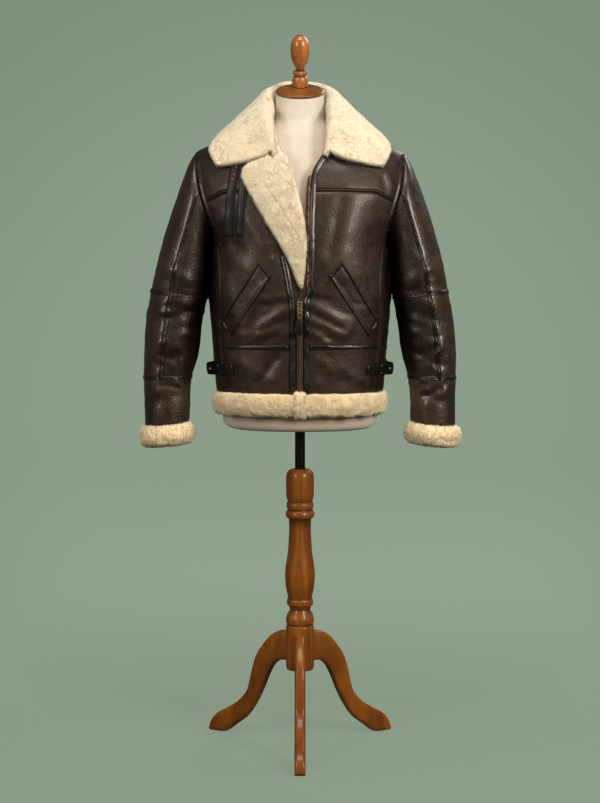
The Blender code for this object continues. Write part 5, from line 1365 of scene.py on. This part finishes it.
THROAT_STRAPS = (
    ("throat_strap_outer", 7.2 * MM,
     (-0.134, -0.137, -0.1405, -0.144, -0.1465, -0.148, -0.1495, -0.1505, -0.151),
     (1.250, 1.234, 1.214, 1.196, 1.176, 1.157, 1.139, 1.122, 1.105)),
    ("throat_strap_inner", 6.2 * MM,
     (-0.1180, -0.1195, -0.1215, -0.1235, -0.1252, -0.1260, -0.1265),
     (1.222, 1.206, 1.184, 1.162, 1.141, 1.122, 1.105)),
)
THROAT_STUDS = np.array((-0.1300, -0.1345, -0.1380)), np.array((1.2440, 1.2290, 1.2200))


def throat_straps():
    """Each strap is two layers: the upper one, and a near-black strip beside it that is a painted shadow."""
    wall = 3.6 * MM
    for name, half, xs, zs in THROAT_STRAPS:
        # A near-black strip beside the strap: a painted shadow.
        tape(name + "_lining", path_surface(np.array(xs) + 7.0 * MM, zs, 5.4 * MM), 0.14, wall, look="suede",
             lift=0.6 * MM, wear=0.0, sewn=0, replaces=[name])
        tape(name, path_surface(xs, zs, half), 0.14, wall, look="dull_tape", lift=1.8 * MM, wear=0.35,
             sewn=0.16, power=3.0)
    places, outs, _ = front_skin(*THROAT_STUDS, 5.2 * MM)
    for number, (place, out) in enumerate(zip(places, outs), 1):
        button(f"throat_stud_{number}", place, out, 1.7 * MM, "brass")


def spun(bm, rim, steps):
    """Turns a line of vertices about Z into a closed shape."""
    geom = rim + [bm.edges.new(pair) for pair in zip(rim, rim[1:])]
    bmesh.ops.spin(bm, geom=geom, axis=(0, 0, 1), cent=(0, 0, 0), steps=steps, angle=math.tau, use_merge=True)
    bmesh.ops.remove_doubles(bm, verts=bm.verts[:], dist=WELD)
    bmesh.ops.recalc_face_normals(bm, faces=bm.faces[:])


def set_at(bm, matrix, place):
    """Turns everything in the bmesh about the origin and moves it to its place."""
    bmesh.ops.rotate(bm, cent=(0, 0, 0), matrix=matrix, verts=bm.verts[:])
    bmesh.ops.translate(bm, vec=Vector(place), verts=bm.verts[:])


def button(name, place, out, radius, look):
    """A domed stud or rivet head standing along its way out."""
    bm = bmesh.new()
    profile = [(radius * math.sin(t), radius * 0.55 * math.cos(t)) for t in np.radians(np.linspace(0, 90, 7))]
    profile.append((radius * 0.98, -radius * 0.5))
    spun(bm, [bm.verts.new((r, 0.0, z)) for r, z in profile], 20)
    set_at(bm, Vector(out).to_track_quat("Z", "Y").to_matrix(), place)
    piece(name, mesh_of(bm, sharp=50), look)


ADJUSTER_Z, ADJUSTER_HALF = 0.827, 12.5 * MM
LOBE_REACH, LOBE_TURN, LOBE_SPREAD = 12.0 * MM, 82.0, 10.0


def side_adjusters():
    """The strap at each side of the waist piece, standing out as a lobe under the arm."""
    for side, tag in SIDES:
        def surface(u, v, lift, side=side):
            turn = between(44.5, 118.0, v)
            narrow = 1.0 - 0.25 * step_up(0.75, 1.0, v) - 0.15 * step_up(0.2, 0.0, v)
            z = ADJUSTER_Z + between(-ADJUSTER_HALF, ADJUSTER_HALF, u) * narrow
            return body_skin(side * turn, z, lift + LOBE_REACH * bell(turn - LOBE_TURN, LOBE_SPREAD))[:2]

        tape(f"side_adjuster_{tag}", surface, 0.15, 3.0 * MM, lift=2.7 * MM, sewn=0.12, step=2.5 * MM)
        rivets = (0.5, 0.42, 3.4), (0.80, 0.26, 1.6), (0.20, 0.26, 1.6)
        for number, (u, v, radius) in enumerate(rivets, 1):
            place, out = surface(np.array(u), np.array(v), 5.4 * MM)
            button(f"adjuster_rivet_{tag}_{number}", place, out, radius * MM, "pewter")
        for share, name in ((0.20, "front"), (0.76, "back")):
            slide(f"adjuster_{name}_slide_{tag}", surface, share)


def slide(name, surface, share):
    """A flat wire frame round the strap."""
    angles = np.linspace(0, 2 * np.pi, 33)[:-1]
    u, v = (signed_power(way(angles), 0.35) for way in (np.cos, np.sin))
    wire(name, surface(0.5 + 0.62 * u, share + 0.020 * v, 4.2 * MM)[0], 1.3 * MM, "black_metal", closed=True)


def wire(name, points, radius, look, closed=False, **more):
    """A round bar swept along points."""
    curve = bpy.data.curves.new(name + "_line", "CURVE")
    curve.dimensions = "3D"
    line = curve.splines.new("POLY")
    line.points.add(len(points) - 1)
    for spot, point in zip(line.points, points):
        spot.co = (*(point + SHIFT), 1.0)
    line.use_cyclic_u = closed
    curve.bevel_depth, curve.bevel_resolution = radius, 3
    curve.use_fill_caps = not closed
    holder = bpy.data.objects.new(name + "_line", curve)
    bpy.context.scene.collection.objects.link(holder)
    data = bpy.data.meshes.new_from_object(holder.evaluated_get(bpy.context.evaluated_depsgraph_get()))
    bpy.data.objects.remove(holder, do_unlink=True)
    data.materials.clear()
    piece(name, data, look, **more)


# Pockets ----

# The hand pocket's corners, x and z: two on its mouth and two at its foot, each pair's outer one last
POCKET = np.array(((0.0590, 1.0215), (0.0855, 1.0535), (0.1425, 0.8955), (0.1640, 0.9290)))
POCKET_WIDE, POCKET_LONG, PIPING, SEWN_IN = 0.037, 0.142, 2.4 * MM, 5.4 * MM


def pockets():
    """The slanting welt of each hand pocket, piped along its mouth, its outer side and part of its foot."""
    fine = np.array((0.4, 0.9, 1.5, 2.4, 3.3, 3.9, 4.5, 5.4, 6.4)) * MM
    us, vs = np.meshgrid(shares(POCKET_WIDE, 3.0 * MM, fine), shares(POCKET_LONG, 4.0 * MM, fine))
    outer, inner = (1 - us) * POCKET_WIDE, us * POCKET_WIDE
    mouth, foot = vs * POCKET_LONG, (1 - vs) * POCKET_LONG
    piping = np.maximum(bell(outer - PIPING, 1.6 * MM, 4), bell(mouth - PIPING, 1.6 * MM, 4))
    piping = np.maximum(piping, bell(foot - PIPING, 1.6 * MM, 4) * step_up(0.3, 0.6, us))
    edge = np.minimum(np.minimum(outer, inner), np.minimum(mouth, foot))
    inset = np.minimum(outer, mouth)
    height = 1.2 * MM * step_up(0.0, 1.4 * MM, edge) + 2.4 * MM * piping
    height = height - 0.9 * MM * bell(inset - SEWN_IN, 1.2 * MM)
    height = height + 1.6 * MM * step_up(8.0 * MM, 2.5 * MM, inner) * step_up(0.0, 1.2 * MM, edge)
    creased = lumps(points_of(inner, vs * 0, mouth), (0.014, 1.0, 0.007), 61).clip(0)
    height = height + np.where(piping < 0.3, 0.7 * MM * creased * step_up(0.0, 6 * MM, edge), 0.0)
    seams = np.minimum(np.minimum(np.abs(inset - 5.3 * MM), inset + 0.3 * MM),
                       np.minimum(inner + 0.5 * MM, np.abs(foot - 5.3 * MM)))
    # Painted shade in the stitched grooves beside the piping.
    soil = bell(seams, 1.1 * MM)
    run = np.linspace(0.01, 0.99, 50)
    for side, tag in SIDES:
        def surface(u, v, lift, side=side):
            ends = (between(*POCKET[pair], u[..., None]) for pair in (slice(0, 2), slice(2, 4)))
            spot = between(*ends, v[..., None])
            return front_skin(side * spot[..., 0], spot[..., 1], lift)[:2]

        points, under = surface(us, vs, 0.2 * MM + height)[0], surface(us, vs, -0.2 * MM)[0]
        # The piping is lightened by the wear attribute: a painted highlight.
        made = piece(f"pocket_{tag}", thick_mesh(points, under, wear=piping, soil=soil), "body",
                     replaces=[f"pocket_welt_{tag}"])
        declare(made, (points + under) / 2, rests_on=[f"front_chest_{tag}"])
        for u in (0.846, 0.14):
            sew(*surface(np.full(50, u), run, 1.0 * MM))
        for v in (0.040, 0.965):
            sew(*surface(run, np.full(50, v), 1.0 * MM))


# Zip ----

PULL_AXIS = np.array((-0.0005, -0.1560, 0.9690))
CHAIN_FOOT_Z, CHAIN_TOP_Z, CHAIN_X = 0.779, 0.9422, -0.2 * MM
FRINGE_COUNT = 3000


def shaped_block(name, low, high, look, round_off, body="form", taper=1.0, rounds=3):
    """A block between two corners with rounded edges, drawn in at its foot by taper."""
    low, high = Vector(low), Vector(high)
    bm = bmesh.new()
    bmesh.ops.create_cube(bm, size=1.0)
    for vertex in bm.verts:
        if vertex.co.z < 0:
            vertex.co.x *= taper
    bmesh.ops.scale(bm, vec=high - low, verts=bm.verts[:])
    bmesh.ops.translate(bm, vec=(low + high) / 2, verts=bm.verts[:])
    bmesh.ops.bevel(bm, geom=bm.edges[:], offset=round_off, segments=rounds, profile=0.5, affect="EDGES",
                    material=-1)
    return piece(name, mesh_of(bm, sharp=40), look, body=body)


def tooth_shape():
    """One zip tooth lying along X, its head rounded."""
    bm = bmesh.new()
    bmesh.ops.create_cube(bm, size=1.0)
    bmesh.ops.bevel(bm, geom=bm.edges[:], offset=0.18, segments=1, profile=0.5, affect="EDGES", material=-1)
    bmesh.ops.recalc_face_normals(bm, faces=bm.faces[:])
    bm.verts.index_update()
    verts = np.array([v.co[:] for v in bm.verts]) * (1.0, 0.52, 0.55)
    faces = [tuple(v.index for v in f.verts) for f in bm.faces]
    bm.free()
    return verts, faces


TOOTH = tooth_shape()


def closed_zip():
    """The closed chain: its tape, and teeth that mesh from both sides."""
    us, vs = np.meshgrid(np.linspace(0, 1, 9), np.linspace(0, 1, 50))
    z = between(CHAIN_FOOT_Z, CHAIN_TOP_Z, vs)
    x, front = CHAIN_X + between(-6.0 * MM, 6.0 * MM, us), body_base(0.0, z)[..., 1]
    ridge = 0.5 * MM * bell(us - 0.5, 0.30, 4)
    outer, inner = points_of(x, front + 0.2 * MM - ridge, z), points_of(x, front + 3.6 * MM, z)
    made = piece("zip_tape_lower", thick_mesh(outer, inner), "zip", replaces=["zip_chain"])
    declare(made, (outer + inner) / 2)
    levels = np.arange(CHAIN_FOOT_Z + 1.5 * MM, CHAIN_TOP_Z, 1.45 * MM)
    lean = np.where(np.arange(len(levels)) % 2 == 0, 1.0, -1.0)
    places = points_of(CHAIN_X + lean * 0.8 * MM, body_base(0.0, levels)[..., 1] - 0.9 * MM, levels)
    strewn("zip_teeth_closed", TOOTH, places, (0.0, -1.0, 0.0), (0.0, 0.0, 1.0), 3.6 * MM, "bronze")


def open_zip():
    """The open stretch: a tape along the free edge with its row of teeth, and wool that shows beside it,
    darkened as painted shade.
    """
    rng = np.random.default_rng(140)
    levels = rng.uniform(1.000, 1.262, FRINGE_COUNT)
    x = read(FREE_EDGE, "x", levels) + rng.uniform(-1.5 * MM, 0.6 * MM, FRINGE_COUNT)
    places, outs, _ = front_skin(x, levels, -1.6 * MM)
    high, slope = knobs(places, outs, 5.0 * MM, 141)
    ways = unit(outs + rng.normal(size=places.shape) * 0.3 - (0.35, 0, 0))
    fringe = strewn("front_edge_wool", LOCK, places, ways, rng.normal(size=places.shape),
                    2.9 * MM * (1.0 + 0.30 * high), "tan_wool", (0.55 + 0.45 * high).clip(0.0, 1.0),
                    unit(outs - slope * 2.5 * MM))

    def surface(u, v, lift):
        z = between(0.984, 1.2293, v)
        return front_skin(read(FREE_EDGE, "x", z) - between(6.5 * MM, -5.5 * MM, u), z, lift)[:2]

    tape("zip_tape_upper", surface, 0.25, 1.4 * MM, look="zip", lift=-3.6 * MM, sewn=0, wear=0.0,
         with_pieces=[fringe])
    levels = np.arange(0.986, 1.226, 2.9 * MM)
    places, outs, _ = front_skin(read(FREE_EDGE, "x", levels) - 6.6 * MM, levels, -1.9 * MM)
    strewn("zip_teeth_open", TOOTH, places, outs, (0.0, 0.0, 1.0), 3.4 * MM, "bronze")


def slider():
    """The slider's two plates, its slots as near-black blocks of painted shade, and the bail over its face
    that the pull hangs from.
    """
    x, y, z = PULL_AXIS
    face = -0.1505
    for name, half, front, back, low, high, look, round_off, taper in (
            ("crown", 5.8, face, -0.1455, 0.9425, 0.9640, "brass", 1.2, 0.82),
            ("back", 5.0, -0.1442, -0.1395, 0.9430, 0.9635, "brass", 0.9, 0.85),
            # The slots are near-black blocks: painted shade.
            ("slot_upper", 1.5, face - 0.15 * MM, -0.1490, 0.9545, 0.9615, "suede", 0.5, 1.0),
            ("slot_lower", 2.4, face - 0.15 * MM, -0.1490, 0.9440, 0.9470, "suede", 0.5, 1.0)):
        made = shaped_block(f"slider_{name}", (x - half * MM, front, low), (x + half * MM, back, high), look,
                            round_off * MM, taper=taper, rounds=3 if look == "brass" else 2)
        if name == "crown":
            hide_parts("zip_slider")
    reach = y - 2.3 * MM
    line = ((face + 1.0 * MM, z - 6.1 * MM), (reach + 1.0 * MM, z - 6.1 * MM), (reach, z - 5.0 * MM),
            (reach, z + 1.0 * MM), (reach + 1.0 * MM, z + 2.3 * MM), (face + 0.4 * MM, z + 2.3 * MM),
            (face + 1.2 * MM, 0.9610))
    wire("slider_bail", np.array([(x, *spot) for spot in line]), 0.8 * MM, "brass")


# The right half of the leather tab's outline, in millimetres from the middle of its head
PULL_OUTLINE = (
    (0.0, 0.0), (3.2, -0.6), (5.0, -4.0), (7.0, -13.0), (9.2, -23.0), (8.8, -29.5), (5.6, -33.6),
    (0.0, -35.0),
)
# The bars of the metal pull, in millimetres from its axis: left, right, foot and head
PULL_BARS = (
    ("pull_arm_1", -4.8, -3.0, -12.5, 0.5), ("pull_arm_2", 3.0, 4.8, -12.5, 0.5),
    ("pull_frame_1", -4.8, -2.6, -34.0, -10.5), ("pull_frame_2", 2.6, 4.8, -34.0, -10.5),
    ("pull_frame_3", -3.2, 3.2, -13.4, -10.5), ("pull_frame_4", -3.2, 3.2, -23.4, -20.8),
    ("pull_frame_5", -3.2, 3.2, -34.0, -31.0),
)


def cornered(points):
    """A closed outline with its corners cut off twice over, so that it turns smoothly."""
    line = np.asarray(points, float)
    for _ in range(2):
        ahead = np.roll(line, -1, axis=0)
        cut = np.stack([line * 0.75 + ahead * 0.25, line * 0.25 + ahead * 0.75], axis=1)
        line = cut.reshape(-1, line.shape[1])
    return line


def plate(outline, depth, round_off):
    """A flat plate in the XZ plane, cut to an outline, its front and back edges rounded."""
    bm = bmesh.new()
    face = bm.faces.new([bm.verts.new((x, 0.0, z)) for x, z in outline])
    grown = bmesh.ops.extrude_face_region(bm, geom=[face])
    moved = [item for item in grown["geom"] if isinstance(item, bmesh.types.BMVert)]
    bmesh.ops.translate(bm, vec=(0, depth, 0), verts=moved)
    bmesh.ops.recalc_face_normals(bm, faces=bm.faces[:])
    rims = [e for e in bm.edges if abs(e.verts[0].co.y - e.verts[1].co.y) < 1e-7]
    bmesh.ops.bevel(bm, geom=rims, offset=round_off, segments=3, profile=0.5, affect="EDGES", material=-1)
    return bm


def puller():
    """The metal pull hangs from the slider's bail, and a leather tab is laced to its foot."""
    x, y, z = PULL_AXIS
    bar = np.array([(x - 4.8 * MM, y, z), (x + 4.8 * MM, y, z)])
    wire("pull_bar", bar, 0.9 * MM, "brass", body="puller", replaces=["zip_puller"])
    for name, left, right, foot, head in PULL_BARS:
        shaped_block(name, (x + left * MM, y - 0.8 * MM, z + foot * MM),
                     (x + right * MM, y + 0.8 * MM, z + head * MM), "brass", 0.4 * MM, "puller")
    outline = list(PULL_OUTLINE) + [(-a, b) for a, b in PULL_OUTLINE[-2:0:-1]]
    bm = plate(cornered(outline) * MM, 3.0 * MM, 0.8 * MM)
    bmesh.ops.translate(bm, vec=(x - 2.0 * MM, y - 1.5 * MM, z - 34.3 * MM), verts=bm.verts[:])
    tab = piece("pull_tab", mesh_of(bm, sharp=40), "tape", body="puller", replaces=["pull_leather"])
    loop = np.array([(-1.0, -1.9, -33.2), (-1.0, -2.0, -37.5), (-3.0, -2.0, -37.5), (-3.0, -1.9, -33.2)]) * MM
    wire("pull_lace", loop + PULL_AXIS, 0.7 * MM, "black_thread", body="puller")


# Dress form and stand ----

FORM = table(
    "z half_width front back",
    (0.696, 0.142, 0.100, 0.098), (0.700, 0.156, 0.110, 0.108), (0.710, 0.1650, 0.116, 0.114),
    (0.740, 0.1665, 0.118, 0.116), (0.800, 0.164, 0.119, 0.115), (0.875, 0.160, 0.120, 0.110),
    (0.950, 0.163, 0.126, 0.112), (1.050, 0.171, 0.134, 0.122), (1.110, 0.178, 0.132, 0.128),
    (1.180, 0.192, 0.122, 0.126), (1.225, 0.197, 0.109, 0.118), (1.255, 0.199, 0.100, 0.109),
    (1.278, 0.1955, 0.091, 0.100), (1.2921, 0.1863, 0.083, 0.092), (1.3142, 0.1327, 0.073, 0.080),
    (1.3302, 0.0950, 0.064, 0.070), (1.3400, 0.0680, 0.056, 0.058), (1.3500, 0.0560, 0.0515, 0.0520),
    (1.3740, 0.0535, 0.0500, 0.0505), (1.4087, 0.0510, 0.0490, 0.0490),
)
FORM_POWER = 2.15
NECK_LEAN_Z, NECK_TOP_Z, CAP_TILT = 1.350, 1.4087, 20.8
CAP_Z = 1.4135


def form_body():
    levels = np.concatenate([[0.6962, 0.698], np.linspace(0.700, 0.745, 12), np.linspace(0.76, 1.27, 52),
                             np.linspace(1.275, NECK_TOP_Z, 34)])
    turn, z = np.meshgrid(np.radians(np.linspace(0, 360, 97)), levels)
    across, along = (signed_power(way(turn), 2.0 / FORM_POWER) for way in (np.sin, np.cos))
    y = -np.where(along > 0, read(FORM, "front", z), read(FORM, "back", z)) * along
    lean = np.clip((z - NECK_LEAN_Z) / (NECK_TOP_Z - NECK_LEAN_Z), 0, 1) * math.tan(math.radians(CAP_TILT))
    data = skinned(points_of(read(FORM, "half_width", z) * across, y, z + y * lean))
    places = np.array([vertex.co - Vector(SHIFT) for vertex in data.vertices])
    data.attributes.new("soil", "FLOAT", "POINT").data.foreach_set("value", form_soil(places))
    piece("form_torso", data, "form", replaces=["form_body"])


def form_soil(at):
    """How much painted shade the cloth carries: round its foot under the hem's wool, beside the wool edges
    and under the collar.
    """
    x, z = at[:, 0], at[:, 2]
    foot = (0.15 + 0.65 * bell(x, 0.12)) * step_up(0.695, 0.722, z) * step_up(0.752, 0.735, z)
    chest = (at[:, 1] < 0) * step_up(1.03, 1.06, z)
    free = 0.95 * np.exp(-np.abs(read(FREE_EDGE, "x", z) - x) / (9.0 * MM))
    fold = 0.45 * np.exp(-np.abs(x - read(FOLD_EDGE, "x", z)) / (6.0 * MM))
    edges = chest * step_up(1.30, 1.27, z) * np.maximum(free, fold)
    neck = 0.55 * step_up(0.030, 0.054, np.abs(x)) * step_up(1.27, 1.30, z) * step_up(1.40, 1.36, z)
    return np.maximum(np.maximum(foot, edges), neck)


# Profiles of the turned pieces and the legs, in millimetres: distance from the axis, and level
CAP_PROFILE = (
    (0, 10), (18, 9.8), (34, 8), (45, 5.2), (50.5, 2.5), (52, 0), (50.5, -4), (0, -4),
)
FINIAL_PROFILE = (
    (0, 119.5), (8, 118), (14.9, 110.7), (18.7, 101), (20, 91), (19.7, 79), (18, 68.5), (15, 60.5),
    (10.8, 53), (8.6, 48), (8.8, 44.5), (15, 42.5), (15.3, 37.5), (12.8, 35.5), (12.8, 32.5), (15, 30.5),
    (16.8, 23), (17.2, 15), (16.5, 10.5), (0, 10.3),
)
POLE_PROFILE = ((0, 735), (11, 735), (11, 470), (0, 470))
BORE_PROFILE = ((0, 385), (10.9, 385), (11.3, 385.4), (11.3, 386), (11.3, 604), (11.3, 605))
COLUMN_PROFILE = (
    (15, 607), (24, 604), (29, 597.5), (30.4, 588), (30.2, 547), (26.6, 535.5), (29, 532), (29.7, 526.2),
    (28.6, 520.7), (26.2, 517.8), (30, 514), (31.7, 507.5), (29.8, 501), (24, 498.5), (23.6, 470),
    (26.2, 425), (31.4, 393), (32.8, 374), (31, 348), (25.8, 323.5), (28.6, 319.5), (28.6, 309.8),
    (24, 306.2), (23, 302), (21.8, 298.8), (28.2, 287), (30.6, 279), (30.2, 270), (27.6, 265.8),
    (30.4, 262.2), (30.8, 254), (30.8, 174), (28.5, 166), (0, 163.5),
)


def softened(profile, rounds):
    """An open profile with its corners cut off, its two ends kept, in metres."""
    line = np.array(profile) * MM
    for _ in range(rounds):
        cut = np.stack([line[:-1] * 0.86 + line[1:] * 0.14, line[:-1] * 0.14 + line[1:] * 0.86], axis=1)
        line = np.concatenate([line[:1], cut.reshape(-1, 2), line[-1:]])
    return line


def turned(name, profile, look, body, node, rounds=1, cut=1.0, place=(0.0, 0.0, 0.0), tilt=0.0):
    """A lathe-turned piece; its grooves carry how far they are cut in below the turning around them."""
    line = softened(profile, rounds)
    level = run_along(line)
    near = bell(level[:, None] - level[None, :], 7.0 * MM)
    around = (near @ line[:, 0]) / near.sum(axis=1)
    cut_in = np.clip((around - line[:, 0]) / (1.6 * MM), 0.0, 1.0) * cut
    bm = bmesh.new()
    groove = bm.verts.layers.float.new("groove")
    rim = [bm.verts.new((radius, 0.0, height)) for radius, height in line]
    for vertex, value in zip(rim, cut_in):
        vertex[groove] = value
    spun(bm, rim, 56)
    set_at(bm, Matrix.Rotation(math.radians(tilt), 3, "X"), place)
    piece(name, mesh_of(bm, sharp=35), look, body=body, replaces=[node])


LEG_WIDTH, LEG_ROUNDING = 23.2 * MM, 4.2
LEG_TOP = (
    (27, 249), (52, 246), (72, 234), (91, 213), (108, 188), (117, 163), (125, 131), (132, 106), (144, 89),
    (162, 72), (187, 56), (212, 41), (227, 24), (232.5, 6),
)
LEG_UNDER = (
    (227.5, 0), (196, 0), (183, 5), (165, 19), (134, 44), (110, 78), (92, 113), (78, 145), (64, 169),
    (48, 181), (27, 183),
)


def evened(profile):
    """A profile's points an even step apart on a smooth curve through them, in metres."""
    line = np.array(profile) * MM
    level = run_along(line)
    at = np.linspace(0.0, level[-1], 60)
    return np.stack([read({"key": level, "row": row}, "row", at) for row in line.T], axis=-1)


def skinned(points):
    """A tube of ring after ring of points, its two ends filled."""
    rows, columns = points.shape[:2]
    bm = bmesh.new()
    bmesh.ops.create_grid(bm, x_segments=columns - 1, y_segments=rows - 1, size=0.5)
    for vertex in bm.verts:
        vertex.co = points[grid_spot(vertex, rows, columns)]
    bmesh.ops.remove_doubles(bm, verts=bm.verts[:], dist=WELD)
    bmesh.ops.edgeloop_fill(bm, edges=[e for e in bm.edges if e.is_boundary])
    bmesh.ops.recalc_face_normals(bm, faces=bm.faces[:])
    return mesh_of(bm, sharp=50)


def legs():
    """Sabre legs: sawn from a board, then rounded over along both edges."""
    top, under = evened(LEG_TOP), evened(LEG_UNDER[::-1])
    middle, half = (top + under) / 2, (top - under) / 2
    turn = np.radians(np.linspace(0.0, 360.0, 41))
    up, aside = (signed_power(way(turn), 2.0 / LEG_ROUNDING) for way in (np.cos, np.sin))
    ring = middle[:, None, :] + half[:, None, :] * up[None, :, None]
    x, y, z = ring[..., 0], aside * LEG_WIDTH / 2, ring[..., 1]
    for number, degrees in enumerate((-90.0, 30.0, 150.0), 1):
        cosine, sine = math.cos(math.radians(degrees)), math.sin(math.radians(degrees))
        data = skinned(points_of(x * cosine - y * sine, x * sine + y * cosine, z))
        piece(f"sabre_leg_{number}", data, "leg_wood", body="stand", replaces=[f"leg_{number}"])


def stand():
    cap = {"place": (0, 0, CAP_Z), "tilt": CAP_TILT}
    turned("turned_column", BORE_PROFILE + COLUMN_PROFILE, "upright_wood", "stand", "column")
    turned("steel_pole", POLE_PROFILE, "steel", "pole", "pole", rounds=0)
    turned("cap_block", CAP_PROFILE, "cap_wood", "form", "neck_cap", rounds=2, cut=0.0, **cap)
    turned("turned_finial", FINIAL_PROFILE, "finial_wood", "form", "finial", **cap)
    legs()


hem_furs()
cuff_furs()
collars()
lapel()
waist_tapes()
side_seam_tapes()
for SIDE_SIGN, SIDE_TAG in SIDES:
    sleeve_tapes(SIDE_SIGN, SIDE_TAG)
    armhole_tape(SIDE_SIGN, SIDE_TAG)
bindings()
throat_straps()
side_adjusters()
pockets()
closed_zip()
open_zip()
slider()
puller()
form_body()
stand()
make_stitches()


# Camera, light and stage ----

EYE_DISTANCE, EYE_Z, EYE_DIP = 3.4, 1.02, 4.5
EYE = (0.0, AXIS_Y - EYE_DISTANCE, EYE_Z)
PIXEL, RENDER_ROWS = 2.15 * MM, 803
WARM = (1.0, 0.96, 0.91)


FLOOR_WIDE, FLOOR_LONG, FLOOR_FLAT = 16.0, 17.0, 12.0


def stage():
    """A floor that sweeps up far behind the stand; its glow is painted darker towards the view's edges and in
    front of the stand, as a vignette shade. It glows by itself and is hidden from diffuse and glossy light,
    so that it doesn't tint the coat."""
    bm = bmesh.new()
    bmesh.ops.create_grid(bm, x_segments=60, y_segments=90, size=1.0)
    away = bm.verts.layers.float.new("away")
    for vertex in bm.verts:
        run = (vertex.co.y + 1.0) * FLOOR_LONG / 2
        rise = max(run - FLOOR_FLAT, 0.0)
        x, y, z = vertex.co.x * FLOOR_WIDE / 2, run - 6.0 - 0.35 * rise, 0.21 * rise ** 2
        vertex.co = (x, y, z)
        depth = max(y - EYE[1], 0.5)
        outward = step_up(0.13, 0.34, math.hypot(x, z - EYE[2] + 0.10 * depth) / depth)
        vertex[away] = float(max(outward, step_up(2.3, -0.2, y)))
    floor = bpy.data.objects.new("floor", bpy.data.meshes.new("floor"))
    bm.to_mesh(floor.data)
    bm.free()
    floor.data.shade_smooth()
    finish = Finish("pale_floor", Roughness=0.9, Specular_IOR_Level=0.05, Emission_Strength=1.0,
                    Base_Color=(0.066, 0.081, 0.063, 1.0))
    glow = finish.blend(finish.attribute("away"), (0.253, 0.319, 0.245), (0.203, 0.259, 0.193))
    finish.dress(Emission_Color=glow)
    floor.data.materials.append(finish.made)
    floor.visible_diffuse = floor.visible_glossy = False
    bpy.context.scene.collection.objects.link(floor)


def lamp(name, place, size, power, colour=WARM):
    """A soft rectangular lamp that shines on the coat's middle."""
    light = bpy.data.lights.new(name, "AREA")
    light.shape, light.size, light.size_y = "RECTANGLE", *size
    light.energy, light.color = power, colour
    made = bpy.data.objects.new(name, light)
    made.location = place
    made.rotation_mode = "QUATERNION"
    made.rotation_quaternion = (Vector((0, 0, 1.0)) - Vector(place)).to_track_quat("-Z", "Y")
    bpy.context.scene.collection.objects.link(made)


def camera():
    """Its lens makes a pixel of the render PIXEL across at the column's axis."""
    data = bpy.data.cameras.new("camera")
    data.sensor_width = 36.0
    data.lens = data.sensor_width * EYE_DISTANCE / (PIXEL * RENDER_ROWS)
    made = bpy.data.objects.new("camera", data)
    made.location = EYE
    made.rotation_euler = (math.radians(90.0 - EYE_DIP), 0.0, 0.0)
    bpy.context.scene.collection.objects.link(made)
    bpy.context.scene.camera = made


stage()
camera()
lamp("key_left", (-2.3, -2.5, 2.0), (0.9, 1.5), 44.0)
lamp("key_right", (2.3, -2.5, 2.1), (0.9, 1.5), 92.0)
lamp("top", (0.0, -1.3, 3.3), (1.6, 0.9), 40.0, (1.0, 0.97, 0.93))
lamp("behind", (1.9, 2.3, 3.0), (2.0, 1.0), 34.0)
world = bpy.data.worlds.new("studio")
world.use_nodes = True
world.node_tree.nodes["Background"].inputs["Color"].default_value = (0.90, 0.88, 0.82, 1.0)
world.node_tree.nodes["Background"].inputs["Strength"].default_value = 0.09
bpy.context.scene.world = world
bpy.context.scene.view_settings.view_transform = "Standard"
